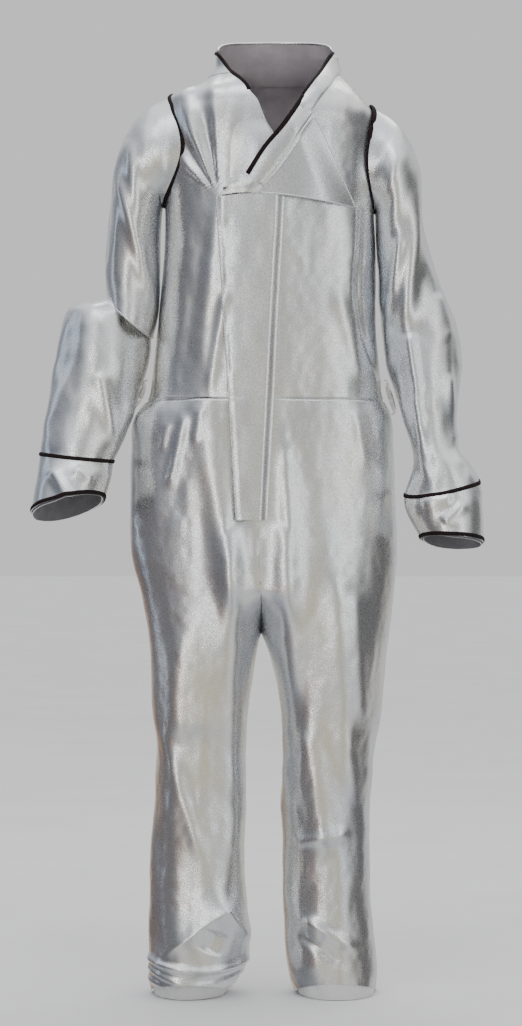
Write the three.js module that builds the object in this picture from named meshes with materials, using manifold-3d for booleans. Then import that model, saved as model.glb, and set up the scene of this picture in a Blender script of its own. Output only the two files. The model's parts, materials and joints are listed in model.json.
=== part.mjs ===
// Chemical protective coverall in metallised fabric: jacket and trousers in one, with a stand collar,
// a throat flap, a storm flap over the front zip, taped armholes and cuffs, and faced hems.
// Millimetres, +Z up. The front faces -Y, and the wearer's left is +X. The origin is between the
// shoulders. The fabric is drawn as thin closed shells with running gaps between neighbours.
import * as THREE from "three";
import { mergeVertices } from "three/addons/utils/BufferGeometryUtils.js";
import Module from "manifold-3d";

const wasm = await Module();
wasm.setup();

// ---- Driving dimensions ----
const fabric = 3; // thickness of a fabric wall
const gap = 0.4; // space between neighbouring pieces
const boxiness = 3; // superellipse power of the jacket's sections
const panelSeam = 0.00015; // angle left open at each side of a seam of the jacket or hips
const tubeSeam = 0.004; // the same for the rounder legs

// Jacket and hip sections from the collar down: height, half width, front and back depth, sideways shift.
const sections = [
  { z: 98, half: 99, front: 66, back: 76, shift: 12 },
  { z: 87, half: 103, front: 70, back: 80, shift: 12 },
  { z: 50, half: 140, front: 90, back: 96, shift: 6 },
  { z: 21, half: 172, front: 104, back: 106, shift: 1 },
  { z: -30, half: 182, front: 115, back: 112, shift: 0 },
  { z: -65, half: 184, front: 118, back: 115, shift: 0 },
  { z: -180, half: 183, front: 118, back: 120, shift: 0 },
  { z: -350, half: 189, front: 118, back: 114, shift: 0 },
  { z: -440, half: 195, front: 118, back: 110, shift: 0 },
  { z: -520, half: 215, front: 118, back: 116, shift: -2 },
  { z: -610, half: 232, front: 118, back: 124, shift: -4 },
  { z: -730, half: 234, front: 118, back: 126, shift: -4 },
  { z: -800, half: 229, front: 118, back: 124, shift: -2 },
  { z: -880, half: 221, front: 118, back: 120, shift: 0 },
];
const collarBase = 50;
const collarCorner = 84;
const collarTop = 97;
const waistSeam = -520;
const hipRim = { front: -786, back: -856 };

// Armholes: an upright oval in each side of the jacket.
const armhole = { z: -79, rise: 100, depth: 85, tape: 8 };
const sleeveDepth = 76; // half depth of a sleeve where it leaves the armhole

// Front opening, as widths and heights on the front surface.
const zip = { x: -15, top: -98, bottom: -705, slot: 7, tape: 13, pitch: 10, tooth: 4 };
const slider = { width: 13, length: 22, top: -104 };
const rightNeckLine = [[zip.x - zip.slot, -96], [-24, 15], [-48, 50]];
const leftNeckLine = [[zip.x + zip.slot, -96], [58, 8], [86, 50]];
const rightCollarLine = [[-48.5, 50.5], [-78, 84]];
const leftCollarLine = [[86.5, 50.5], [103, 84]];
const bindingWidth = 7;
const bindingGap = 1.2;

// Throat flap and storm flap outlines, each drawn from its hinge to its free end.
const flapStandoff = 8;
const throatHinge = { top: [62, -121, 2], bottom: [150, -114, -187] };
const lapelEdge = [[62, 2], [26, -52], [-5, -87], [-33, -135]];
const lapelSeam = [[72, -20], [40, -70], [10, -106], [-50, -150]];
const throatHem = [[150, -187], [60, -184], [-20, -179], [-84, -171]];
const stormFlap = { top: -192, bottom: -729, hinge: [30, 2], free: [-84, -52] };

// How each sleeve hangs: its elbow and the end of its cuff.
const arms = {
  right: { sign: -1, elbow: [-254, 0, -372], end: [-333, -92, -722] },
  left: { sign: 1, elbow: [262, 0, -398], end: [318, -94, -768] },
};
const elbowJoint = { width: 47, depth: 67 };
const cuffStart = 0.71; // share of the way from elbow to cuff end
const cuffStop = 0.965;

// Legs.
const hipJoint = { x: 113, z: -830, width: 102, depth: 107 };
const kneeJoint = { x: 115, z: -1150, width: 76, depth: 80 };
const hem = { front: -1545, back: -1558, facing: -1561, x: 118 };
const legSign = { right: -1, left: 1 };

// ---- Materials ----
const finishes = {
  silver: { color: 0xb9bec6, roughness: 0.35, metalness: 0.85 },
  binding: { color: 0x23090d, roughness: 0.7, metalness: 0 },
  lining: { color: 0x6e666a, roughness: 0.9, metalness: 0 },
  facing: { color: 0xe4e2de, roughness: 0.85, metalness: 0 },
  loop: { color: 0x2a2a2c, roughness: 0.95, metalness: 0 },
  zipTape: { color: 0x3a3b3e, roughness: 0.9, metalness: 0 },
  zipTeeth: { color: 0x8f9296, roughness: 0.4, metalness: 0.2 },
  zipMetal: { color: 0xb8a06a, roughness: 0.3, metalness: 1 },
};

const suit = new THREE.Group();
suit.name = "chemical_protective_suit";

function add(name, finish, geometry) {
  const mesh = new THREE.Mesh(geometry, new THREE.MeshStandardMaterial(finishes[finish]));
  mesh.name = name;
  suit.add(mesh);
}

// ---- Surfaces ----
const { clamp, lerp, smoothstep } = THREE.MathUtils;

function sectionAt(z) {
  const below = sections.findIndex((section) => section.z <= z);
  const index = below < 1 ? (z > sections[0].z ? 1 : sections.length - 1) : below;
  const [upper, lower] = [sections[index - 1], sections[index]];
  const share = clamp((upper.z - z) / (upper.z - lower.z), 0, 1);
  const at = (key) => lerp(upper[key], lower[key], share);
  return { half: at("half"), front: at("front"), back: at("back"), shift: at("shift") };
}

function signedPower(value, power) {
  return Math.sign(value) * Math.abs(value) ** power;
}

// A point on the jacket: angle 0 is the centre front and turns towards +X.
function bodyPoint(angle, z, offset) {
  const { half, front, back, shift } = sectionAt(z);
  const depth = Math.cos(angle) > 0 ? front : back;
  const x = shift + (half + offset) * signedPower(Math.sin(angle), 2 / boxiness);
  const y = -(depth + offset) * signedPower(Math.cos(angle), 2 / boxiness);
  return new THREE.Vector3(x, y, z);
}

// The angle of the front surface at a sideways place.
function frontAngle(x, z) {
  const { half, shift } = sectionAt(z);
  const share = clamp((x - shift) / half, -1, 1);
  return Math.asin(signedPower(share, boxiness / 2));
}

function frontPoint(x, z, offset) {
  const { half, front, shift } = sectionAt(z);
  const share = clamp(Math.abs(x - shift) / (half + offset), 0, 1);
  return new THREE.Vector3(x, -(front + offset) * (1 - share ** boxiness) ** (1 / boxiness), z);
}

// Where a panel stops at the side: at the side seam, or at the edge of the armhole.
function sideAngle(z, depthKey) {
  const climb = (z - armhole.z) / armhole.rise;
  if (Math.abs(climb) >= 1) return Math.PI / 2;
  const reach = (armhole.depth * Math.sqrt(1 - climb ** 2)) / sectionAt(z)[depthKey];
  return Math.acos(reach ** (boxiness / 2));
}

function spline(points) {
  return new THREE.CatmullRomCurve3(points.map(([x, z]) => new THREE.Vector3(x, 0, z)), false, "centripetal");
}

// The sideways place of an edge drawn as straight runs between [x, z] points.
function edgeAt(line, z) {
  const next = clamp(line.findIndex(([, height]) => height >= z), 1, line.length - 1);
  const [[x0, z0], [x1, z1]] = [line[next - 1], line[next]];
  return lerp(x0, x1, clamp((z - z0) / (z1 - z0), 0, 1));
}

// ---- Closed shells ----
// pointAt(u, v, offset) gives the surface; the shell lies between two offsets of it.
function shell({ pointAt, across, down, outer, inner, ring = false }) {
  const columns = ring ? across : across + 1;
  const positions = [];
  for (const offset of [outer, inner]) {
    for (let row = 0; row <= down; row += 1) {
      for (let column = 0; column < columns; column += 1) {
        positions.push(...pointAt(column / across, row / down, offset).toArray());
      }
    }
  }
  const layer = columns * (down + 1);
  const at = (row, column, side) => side * layer + row * columns + (column % columns);
  const index = [];
  const quad = (a, b, c, d) => index.push(a, b, c, a, c, d);
  for (let row = 0; row < down; row += 1) {
    for (let column = 0; column < across; column += 1) {
      quad(at(row, column, 0), at(row, column + 1, 0), at(row + 1, column + 1, 0), at(row + 1, column, 0));
      quad(at(row, column, 1), at(row + 1, column, 1), at(row + 1, column + 1, 1), at(row, column + 1, 1));
    }
  }
  for (let column = 0; column < across; column += 1) {
    quad(at(0, column, 0), at(0, column, 1), at(0, column + 1, 1), at(0, column + 1, 0));
    quad(at(down, column, 0), at(down, column + 1, 0), at(down, column + 1, 1), at(down, column, 1));
  }
  for (let row = 0; row < down && !ring; row += 1) {
    quad(at(row, 0, 0), at(row + 1, 0, 0), at(row + 1, 0, 1), at(row, 0, 1));
    quad(at(row, across, 0), at(row, across, 1), at(row + 1, across, 1), at(row + 1, across, 0));
  }
  return closedGeometry(positions, index);
}

function closedGeometry(positions, index) {
  const corner = (i) => new THREE.Vector3().fromArray(positions, 3 * index[i]);
  let volume = 0;
  for (let i = 0; i < index.length; i += 3) {
    volume += corner(i).dot(corner(i + 1).cross(corner(i + 2)));
  }
  if (volume < 0) index.reverse();
  const geometry = new THREE.BufferGeometry();
  geometry.setAttribute("position", new THREE.Float32BufferAttribute(positions, 3));
  geometry.setIndex(index);
  geometry.computeVertexNormals();
  return geometry;
}

function toManifold(geometry) {
  const bare = geometry.clone();
  bare.deleteAttribute("normal");
  bare.deleteAttribute("uv");
  const merged = mergeVertices(bare, 1e-4);
  return new wasm.Manifold(new wasm.Mesh({
    numProp: 3,
    vertProperties: Float32Array.from(merged.attributes.position.array),
    triVerts: Uint32Array.from(merged.index.array),
  }));
}

function fromManifold(solid) {
  const { vertProperties, triVerts } = solid.getMesh();
  return closedGeometry(Array.from(vertProperties), Array.from(triVerts));
}

// A flat plate from an outline of points, turned into the row frame.
function plate(outline, thickness, toFrame) {
  const shape = new THREE.Shape(outline.map(([a, b]) => new THREE.Vector2(a, b)));
  const geometry = new THREE.ExtrudeGeometry(shape, { depth: thickness, bevelEnabled: false, steps: 1 });
  geometry.translate(0, 0, -thickness / 2);
  return geometry.applyMatrix4(toFrame);
}

const facingFront = new THREE.Matrix4().makeRotationX(Math.PI / 2);

// ---- Jacket ----
// Rows that follow the armhole closely, and lie further apart above and below it.
function jacketRows() {
  const rows = [collarBase, (collarBase + armhole.z + armhole.rise) / 2];
  const steps = 14;
  for (let step = 0; step <= steps; step += 1) {
    rows.push(armhole.z + armhole.rise * Math.cos((Math.PI * step) / steps));
  }
  const last = rows[rows.length - 1];
  for (let step = 1; step <= 6; step += 1) {
    rows.push(lerp(last, waistSeam + gap / 2, step / 6));
  }
  return rows;
}

function frontPanel(side, sign, neckLine) {
  const rows = jacketRows();
  const pointAt = (u, v, offset) => {
    const z = rows[Math.round(v * (rows.length - 1))];
    const start = frontAngle(edgeAt(neckLine, z), z);
    const stop = sign * (sideAngle(z, "front") - panelSeam);
    return bodyPoint(lerp(start, stop, u), z, offset);
  };
  const geometry = shell({ pointAt, across: 9, down: rows.length - 1, outer: 0, inner: -fabric });
  add(`${side}_front_panel`, "silver", geometry);
}

function backPanel() {
  const rows = jacketRows();
  const pointAt = (u, v, offset) => {
    const z = rows[Math.round(v * (rows.length - 1))];
    const edge = Math.PI - sideAngle(z, "back") + panelSeam;
    return bodyPoint(lerp(edge, 2 * Math.PI - edge, u), z, offset);
  };
  const geometry = shell({ pointAt, across: 18, down: rows.length - 1, outer: 0, inner: -fabric });
  add("back_panel", "silver", geometry);
}

function collarRows() {
  const steps = 4;
  return Array.from({ length: steps + 1 }, (_, step) => lerp(collarCorner, collarBase + gap, step / steps));
}

function collar() {
  const rows = collarRows();
  const pointAt = (u, v, offset) => {
    const row = rows[Math.round(v * (rows.length - 1))];
    const lift = (collarTop - collarCorner) * Math.sin(Math.PI * u);
    const z = row + (lift * (row - collarBase)) / (collarCorner - collarBase);
    const start = frontAngle(edgeAt(leftCollarLine, row), row);
    const stop = frontAngle(edgeAt(rightCollarLine, row), row) + 2 * Math.PI;
    return bodyPoint(lerp(start, stop, u), z, offset);
  };
  const geometry = shell({ pointAt, across: 24, down: rows.length - 1, outer: 0, inner: -fabric });
  add("collar", "silver", geometry);
}

// A dark strip that closes a neck edge, lying just inside the opening.
function neckBinding(side, towards, neckLine, collarLine) {
  const lowest = neckLine[1][1];
  const rows = [...collarRows(), ...jacketRows().filter((z) => z < collarBase && z > lowest), lowest];
  const pointAt = (u, v, offset) => {
    const z = rows[Math.round(v * (rows.length - 1))];
    const edge = edgeAt(z > collarBase ? collarLine : neckLine, z);
    const inset = lerp(bindingGap, bindingGap + bindingWidth, u);
    return bodyPoint(frontAngle(edge + towards * inset, z), z, offset);
  };
  const geometry = shell({ pointAt, across: 2, down: rows.length - 1, outer: 1.5, inner: -fabric - 1 });
  add(`${side}_neck_binding`, "binding", geometry);
}

function armholeTape(side, sign) {
  const pointAt = (u, v, offset) => {
    const turn = 2 * Math.PI * u;
    const reach = lerp(0.97, 1 - armhole.tape / armhole.rise, v);
    const z = armhole.z + armhole.rise * reach * Math.cos(turn);
    const y = armhole.depth * reach * Math.sin(turn);
    const { half, front, back, shift } = sectionAt(z);
    const share = Math.abs(y) / (y < 0 ? front : back);
    const x = shift + sign * (half + offset) * (1 - share ** boxiness) ** (1 / boxiness);
    return new THREE.Vector3(x, y, z);
  };
  const geometry = shell({ pointAt, across: 36, down: 1, outer: 1.5, inner: -fabric, ring: true });
  add(`${side}_armhole_tape`, "binding", geometry);
}

// ---- Hips ----
function hipRimAt(angle) {
  const middle = (hipRim.front + hipRim.back) / 2;
  return middle + ((hipRim.front - hipRim.back) / 2) * Math.cos(angle);
}

function hipPanel(name, from, to) {
  const pointAt = (u, v, offset) => {
    const angle = lerp(from, to, u);
    const z = lerp(waistSeam - gap / 2, hipRimAt(angle), v);
    return bodyPoint(angle, z, offset);
  };
  add(name, "silver", shell({ pointAt, across: 10, down: 7, outer: 0, inner: -fabric }));
}

function trouserFront(side, sign) {
  const pointAt = (u, v, offset) => {
    const slotEdge = zip.x + sign * zip.slot;
    const probe = lerp(waistSeam, hipRim.front, v);
    const start = frontAngle(probe > zip.bottom - 12 ? slotEdge : zip.x + sign * 1, probe);
    const angle = lerp(start, sign * (Math.PI / 2 - panelSeam), u);
    const z = lerp(waistSeam - gap / 2, hipRimAt(angle), v);
    return bodyPoint(angle, z, offset);
  };
  add(`${side}_trouser_front`, "silver", shell({ pointAt, across: 10, down: 14, outer: 0, inner: -fabric }));
}

// A narrow strip that runs under the body between the two legs.
function crotchGusset() {
  const halfWidth = 6;
  const { front, back } = sectionAt(hipRim.back);
  const path = new THREE.CatmullRomCurve3([
    new THREE.Vector3(0, -front + 1, hipRim.front - gap),
    new THREE.Vector3(0, -front + 6, hipRim.front - 60),
    new THREE.Vector3(0, -50, -912),
    new THREE.Vector3(0, 30, -925),
    new THREE.Vector3(0, back - 12, -895),
    new THREE.Vector3(0, back - 2, hipRim.back - gap),
  ]);
  const pointAt = (u, v, offset) => {
    const point = path.getPoint(v);
    const tangent = path.getTangent(v);
    const outward = new THREE.Vector3(0, tangent.z, -tangent.y);
    point.addScaledVector(outward, offset);
    point.x = lerp(-halfWidth, halfWidth, u);
    return point;
  };
  add("crotch_gusset", "silver", shell({ pointAt, across: 1, down: 18, outer: 0, inner: -fabric }));
}

// ---- Front zip and its cover strips ----
function frontStrip(name, finish, corners, outer, inner, down = 12) {
  const [topLeft, topRight, bottomRight, bottomLeft] = corners;
  const pointAt = (u, v, offset) => {
    const x = lerp(lerp(topLeft[0], topRight[0], u), lerp(bottomLeft[0], bottomRight[0], u), v);
    const z = lerp(lerp(topLeft[1], topRight[1], u), lerp(bottomLeft[1], bottomRight[1], u), v);
    return frontPoint(x, z, offset);
  };
  add(name, finish, shell({ pointAt, across: 4, down, outer, inner }));
}

function zipTape(side, sign) {
  const inside = zip.x + sign * 2;
  const outside = zip.x + sign * (2 + zip.tape);
  const corners = [[inside, zip.top], [outside, zip.top], [outside, zip.bottom], [inside, zip.bottom]];
  frontStrip(`zip_tape_${side}`, "zipTape", corners, -fabric - 1.2, -fabric - 2.4);
}

// One side of the zip chain: a spine with square teeth that reach past the centre line.
function zipTeeth(side, sign) {
  const spineOut = zip.tooth + 0.5;
  const spineIn = 2.6;
  const reach = -1.2;
  const start = zip.top - 2 - (sign > 0 ? zip.pitch / 2 : 0);
  const count = Math.floor((start - zip.bottom - 6) / zip.pitch);
  const end = start - count * zip.pitch;
  const outline = [[sign * spineOut, start], [sign * spineIn, start]];
  for (let tooth = 0; tooth < count; tooth += 1) {
    const top = start - (tooth + 0.28) * zip.pitch;
    const bottom = start - (tooth + 0.72) * zip.pitch;
    outline.push([sign * spineIn, top], [sign * reach, top], [sign * reach, bottom], [sign * spineIn, bottom]);
  }
  outline.push([sign * spineIn, end], [sign * spineOut, end]);
  const geometry = plate(outline, 2.4, facingFront);
  geometry.translate(zip.x, -sectionAt(zip.bottom).front + 2.2, 0);
  add(`zip_teeth_${side}`, "zipTeeth", geometry);
}

function zipBottomStop() {
  const half = 5;
  const outline = [[-half, zip.bottom], [half, zip.bottom], [half, zip.bottom - 8], [-half, zip.bottom - 8]];
  const geometry = plate(outline, 3, facingFront);
  geometry.translate(zip.x, -sectionAt(zip.bottom).front + 2, 0);
  add("zip_bottom_stop", "zipMetal", geometry);
}

// The slider is a channel over the chain with a small bridge that holds the pull tab.
function zipSlider() {
  const half = slider.width / 2;
  const face = sectionAt(slider.top).front;
  const middle = slider.top - slider.length / 2;
  const box = (width, depth, height, x, y, z) =>
    wasm.Manifold.cube([width, depth, height], true).translate([x, y, z]);
  const plateFront = box(slider.width, 1.6, slider.length, zip.x, -face - 0.2, middle);
  const flange = (sign) => box(1.2, 3.4, slider.length, zip.x + sign * (half - 0.6), -face + 1.6, middle);
  const post = (z) => box(3, 3.4, 2.4, zip.x, -face - 2.6, z);
  const bridge = box(3, 1.2, 12, zip.x, -face - 4.8, middle);
  const posts = post(middle + 4.8).add(post(middle - 4.8));
  const body = plateFront.add(flange(1)).add(flange(-1)).add(posts).add(bridge);
  add("zip_slider", "zipMetal", fromManifold(body));
}

// The pull tab hangs flat from the slider's bridge, threaded on it by a square eye.
function zipPuller() {
  const face = sectionAt(slider.top).front;
  const middle = slider.top - slider.length / 2;
  const tab = [[-3, 2.4], [3, 2.4], [5, -12], [5.5, -36], [3, -41], [-3, -41], [-5.5, -36], [-5, -12]];
  const solid = toManifold(plate(tab, 1.4, facingFront)).translate([zip.x, -face - 2.6, middle]);
  const eye = wasm.Manifold.cube([5, 4, 8], true).translate([zip.x, -face - 2.6, middle - 4.8]);
  add("zip_puller", "zipMetal", fromManifold(solid.subtract(eye)));
}

function innerFly() {
  const corners = [[-50, 8], [16, -66], [24, zip.bottom - 20], [-52, zip.bottom - 20]];
  frontStrip("inner_fly", "facing", corners, -fabric - 9, -fabric - 11);
}

// ---- Flaps ----
// A point on the throat flap's layer: on the hinge line at reach 0, and lying over the chest further out.
function throatPoint(x, z, reach, offset) {
  const { top, bottom } = throatHinge;
  const hingeY = lerp(top[1], bottom[1], clamp((top[2] - z) / (top[2] - bottom[2]), 0, 1));
  const lying = frontPoint(x, z, flapStandoff + fabric + offset).y;
  return new THREE.Vector3(x, lerp(hingeY - offset, lying, smoothstep(reach, 0, 0.4)), z);
}

function throatPiece(name, finish, upper, lower, from, to, outer, inner) {
  const [upperLine, lowerLine] = [spline(upper), spline(lower)];
  const pointAt = (u, v, offset) => {
    const start = upperLine.getPoint(u);
    const point = start.lerp(lowerLine.getPoint(u), lerp(from, to, v));
    return throatPoint(point.x, point.z, u, offset);
  };
  add(name, finish, shell({ pointAt, across: 14, down: 6, outer, inner }));
}

function throatFlap() {
  throatPiece("throat_flap", "silver", lapelSeam, throatHem, 0.02, 1, 0, -fabric);
  throatPiece("lapel_band", "silver", lapelEdge, lapelSeam, 0.32, 0.97, 0, -fabric);
  throatPiece("lapel_binding", "binding", lapelEdge, lapelSeam, 0, 0.29, 0.8, -fabric - 0.8);
  const patch = [[-52, -157], [-70, -164], [-68, -168], [-46, -168]];
  frontStrip("throat_hook_patch", "loop", patch, flapStandoff - gap, flapStandoff - 2, 2);
}

function stormFlapEdge(key, z) {
  const share = (z - stormFlap.top) / (stormFlap.bottom - stormFlap.top);
  return lerp(stormFlap[key][0], stormFlap[key][1], share);
}

function stormFlapPieces() {
  const { top, bottom } = stormFlap;
  const corners = [
    [stormFlapEdge("free", top), top],
    [stormFlapEdge("hinge", top), top],
    [stormFlapEdge("hinge", bottom), bottom],
    [stormFlapEdge("free", bottom), bottom],
  ];
  frontStrip("storm_flap", "silver", corners, flapStandoff + fabric, flapStandoff);
  const strip = (from, to, start, stop) => [
    [stormFlapEdge("free", start) + from, start],
    [stormFlapEdge("free", start) + to, start],
    [stormFlapEdge("free", stop) + to, stop],
    [stormFlapEdge("free", stop) + from, stop],
  ];
  const inside = strip(4, 20, top - 10, bottom + 12);
  frontStrip("storm_hook_strip", "loop", inside, flapStandoff - gap, flapStandoff - 2);
  frontStrip("storm_loop_strip", "loop", inside, 2, gap);
  const throatPatch = [[-54, -150], [-74, -158], [-72, -172], [-50, -172]];
  frontStrip("throat_loop_patch", "loop", throatPatch, 2, gap, 2);
}

// ---- Belt loops ----
function beltLoop(side, sign) {
  const [top, bottom] = [-484, -541];
  const foot = 9;
  const standoff = 8;
  const strap = 2.5;
  const wall = (z) => sign * (sectionAt(z).half + gap) + sectionAt(z).shift;
  const outline = [
    [wall(top), top],
    [wall(top) + sign * (standoff + strap), top - 2],
    [wall(bottom) + sign * (standoff + strap), bottom + 2],
    [wall(bottom), bottom],
    [wall(bottom + foot), bottom + foot],
    [wall(bottom + foot) + sign * standoff, bottom + foot + 2],
    [wall(top - foot) + sign * standoff, top - foot - 2],
    [wall(top - foot), top - foot],
  ];
  const geometry = plate(outline, 18, facingFront);
  geometry.translate(0, 8, 0);
  add(`${side}_belt_loop`, "silver", geometry);
}

// ---- Tubes for sleeves and legs ----
// A tube is a list of rings: a centre, a half width along `side` and a half depth along `front`.
// rise lifts the front of a ring and lowers its back.
function ringPoint(ring, angle, offset) {
  const point = ring.centre.clone();
  point.addScaledVector(ring.side, Math.sin(angle) * (ring.width + offset));
  point.addScaledVector(ring.front, Math.cos(angle) * (ring.depth + offset));
  point.z += (ring.rise ?? 0) * Math.cos(angle);
  return point;
}

function tube(name, finish, rings, { outer = 0, inner = -fabric, from = 0, to = 2 * Math.PI } = {}) {
  const whole = to - from > 6;
  const pointAt = (u, v, offset) =>
    ringPoint(rings[Math.round(v * (rings.length - 1))], lerp(from, to, u), offset);
  const across = whole ? 24 : 12;
  add(name, finish, shell({ pointAt, across, down: rings.length - 1, outer, inner, ring: whole }));
}

function domeScale(height, radius) {
  return Math.sqrt(1 - (height / radius) ** 2);
}

// ---- Sleeves ----
// Rings of the upper sleeve as [outer x, outer z, inner x, inner z, share of the depth], outwards from the body.
const upperSleeveRings = [
  [150, -5, 150, -159, 0.94],
  [178, 0, 178, -164, 1],
  [206, -5, 188, -166, 1],
  [236, -24, 191, -172, 0.99],
  [257, -54, 192, -180, 0.98],
  [266, -95, 193, -192, 0.97],
  [274, -150, 194, -212, 0.96],
  [288, -240, 197, -262, 0.95],
];

function upperSleeve(side, { sign, elbow }) {
  const rings = upperSleeveRings.map(([outX, outZ, inX, inZ, share]) => {
    const out = new THREE.Vector3(sign * outX, 0, outZ);
    const inside = new THREE.Vector3(sign * inX, 0, inZ);
    const across = out.clone().sub(inside);
    return {
      centre: out.clone().add(inside).multiplyScalar(0.5),
      side: across.clone().normalize(),
      front: new THREE.Vector3(0, -1, 0),
      width: across.length() / 2,
      depth: sleeveDepth * share,
    };
  });
  const mouth = { width: elbowJoint.width + 7, depth: elbowJoint.depth + 7 };
  const sideways = new THREE.Vector3(sign, 0, 0);
  const front = new THREE.Vector3(0, -1, 0);
  const [x, y, z] = elbow;
  const above = new THREE.Vector3(x - sign * 2, y, z + 70);
  rings.push({ centre: above, side: sideways, front, ...mouth });
  rings.push({ centre: new THREE.Vector3(x, y, z + 17), side: sideways, front, ...mouth, rise: 37 });
  tube(`${side}_upper_sleeve`, "silver", rings);
}

// A ring across the lower sleeve at a share of the way from elbow to cuff end.
function lowerSleeveRing(arm, share, width, depth) {
  const elbow = new THREE.Vector3(...arm.elbow);
  const end = new THREE.Vector3(...arm.end);
  const along = end.clone().sub(elbow).normalize();
  const front = new THREE.Vector3(0, -1, 0);
  front.addScaledVector(along, -front.dot(along)).normalize();
  const side = new THREE.Vector3().crossVectors(front, along).multiplyScalar(-arm.sign);
  return { centre: elbow.lerp(end, share), side, front, width, depth };
}

function lowerSleeve(side, arm) {
  const length = new THREE.Vector3(...arm.elbow).distanceTo(new THREE.Vector3(...arm.end));
  const dome = [58, 45, 25, 0].map((height) => {
    const scale = domeScale(height, elbowJoint.depth);
    return lowerSleeveRing(arm, -height / length, elbowJoint.width * scale, elbowJoint.depth * scale);
  });
  const rings = [
    ...dome,
    lowerSleeveRing(arm, 0.12, 51, 66),
    lowerSleeveRing(arm, 0.26, 58, 65),
    lowerSleeveRing(arm, 0.45, 61, 64),
    lowerSleeveRing(arm, cuffStart - 0.001, 60, 62),
  ];
  tube(`${side}_lower_sleeve`, "silver", rings);
  const band = (from, to, width, depth) =>
    [lowerSleeveRing(arm, from, width, depth), lowerSleeveRing(arm, to, width, depth)];
  const raised = { outer: 2 + gap, inner: gap };
  tube(`${side}_cuff_seam_tape`, "binding", band(cuffStart - 0.011, cuffStart + 0.011, 60, 62), raised);
  const cuffRings = [
    lowerSleeveRing(arm, cuffStart + 0.001, 60, 62),
    lowerSleeveRing(arm, 0.84, 61.5, 62.5),
    lowerSleeveRing(arm, cuffStop, 63, 63),
  ];
  tube(`${side}_cuff`, "silver", cuffRings);
  tube(`${side}_cuff_edge_tape`, "binding", band(cuffStop - 0.022, cuffStop, 63, 63), raised);
  const inset = { outer: -fabric - 2 * gap, inner: -fabric - 2 * gap - 2 };
  tube(`${side}_cuff_lining`, "lining", band(cuffStop - 0.1, 1, 61.5, 62.5), inset);
}

// ---- Legs ----
function legRing(sign, x, z, width, depth, rise = 0) {
  return {
    centre: new THREE.Vector3(sign * x, 0, z),
    side: new THREE.Vector3(sign, 0, 0),
    front: new THREE.Vector3(0, -1, 0),
    width,
    depth,
    rise,
  };
}

function domeRings(sign, joint, heights) {
  return heights.map((height) => {
    const scale = domeScale(height, joint.depth);
    return legRing(sign, joint.x, joint.z + height, joint.width * scale, joint.depth * scale);
  });
}

const frontHalf = { from: -Math.PI / 2 + tubeSeam, to: Math.PI / 2 - tubeSeam };
const backHalf = { from: Math.PI / 2 + tubeSeam, to: 1.5 * Math.PI - tubeSeam };

function leg(side, sign) {
  const mouth = { width: kneeJoint.width + 7, depth: kneeJoint.depth + 7 };
  const thighRings = [
    ...domeRings(sign, hipJoint, [92, 75, 42, 0]),
    legRing(sign, 112, -890, 102, 105),
    legRing(sign, 112, -1000, 93, 98),
    legRing(sign, 114, kneeJoint.z + 62, mouth.width, mouth.depth),
    legRing(sign, kneeJoint.x, kneeJoint.z + 12, mouth.width, mouth.depth, -38),
  ];
  tube(`${side}_thigh_front`, "silver", thighRings, frontHalf);
  tube(`${side}_thigh_back`, "silver", thighRings, backHalf);
  const shinRings = (bottom) => [
    ...domeRings(sign, kneeJoint, [68, 52, 28, 0]),
    legRing(sign, 115, -1210, 78, 80),
    legRing(sign, 116, -1380, 79, 80),
    legRing(sign, hem.x, bottom, 79, 80),
  ];
  tube(`${side}_shin_front`, "silver", shinRings(hem.front), frontHalf);
  tube(`${side}_shin_back`, "silver", shinRings(hem.back), backHalf);
  const facing = [legRing(sign, hem.x, hem.facing + 46, 79, 80), legRing(sign, hem.x, hem.facing, 79, 80)];
  tube(`${side}_hem_facing`, "facing", facing, { outer: -fabric - 2 * gap, inner: -fabric - 2 * gap - 2.5 });
}

// ---- The suit ----
frontPanel("right", -1, rightNeckLine);
frontPanel("left", 1, leftNeckLine);
backPanel();
collar();
neckBinding("right", 1, rightNeckLine, rightCollarLine);
neckBinding("left", -1, leftNeckLine, leftCollarLine);
trouserFront("right", -1);
trouserFront("left", 1);
hipPanel("right_seat_panel", Math.PI + panelSeam, 1.5 * Math.PI - panelSeam);
hipPanel("left_seat_panel", Math.PI / 2 + panelSeam, Math.PI - panelSeam);
crotchGusset();
zipTape("right", -1);
zipTape("left", 1);
zipTeeth("right", -1);
zipTeeth("left", 1);
zipBottomStop();
zipSlider();
zipPuller();
innerFly();
throatFlap();
stormFlapPieces();
for (const [side, arm] of Object.entries(arms)) {
  armholeTape(side, arm.sign);
  beltLoop(side, arm.sign);
  upperSleeve(side, arm);
  lowerSleeve(side, arm);
}
for (const [side, sign] of Object.entries(legSign)) {
  leg(side, sign);
}

export default suit;
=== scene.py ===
"""Metallised protective coverall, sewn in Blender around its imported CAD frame.

Metres, row frame: +Z up, the front faces -Y, and the wearer's left is +X. The cloth is a set of panels
cut from smooth surfaces (jacket, sleeves and legs). The jacket and trousers share one field of folds, and
each sleeve has its own, so the panels on either side of a seam meet.
"""
import json
import math

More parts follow.
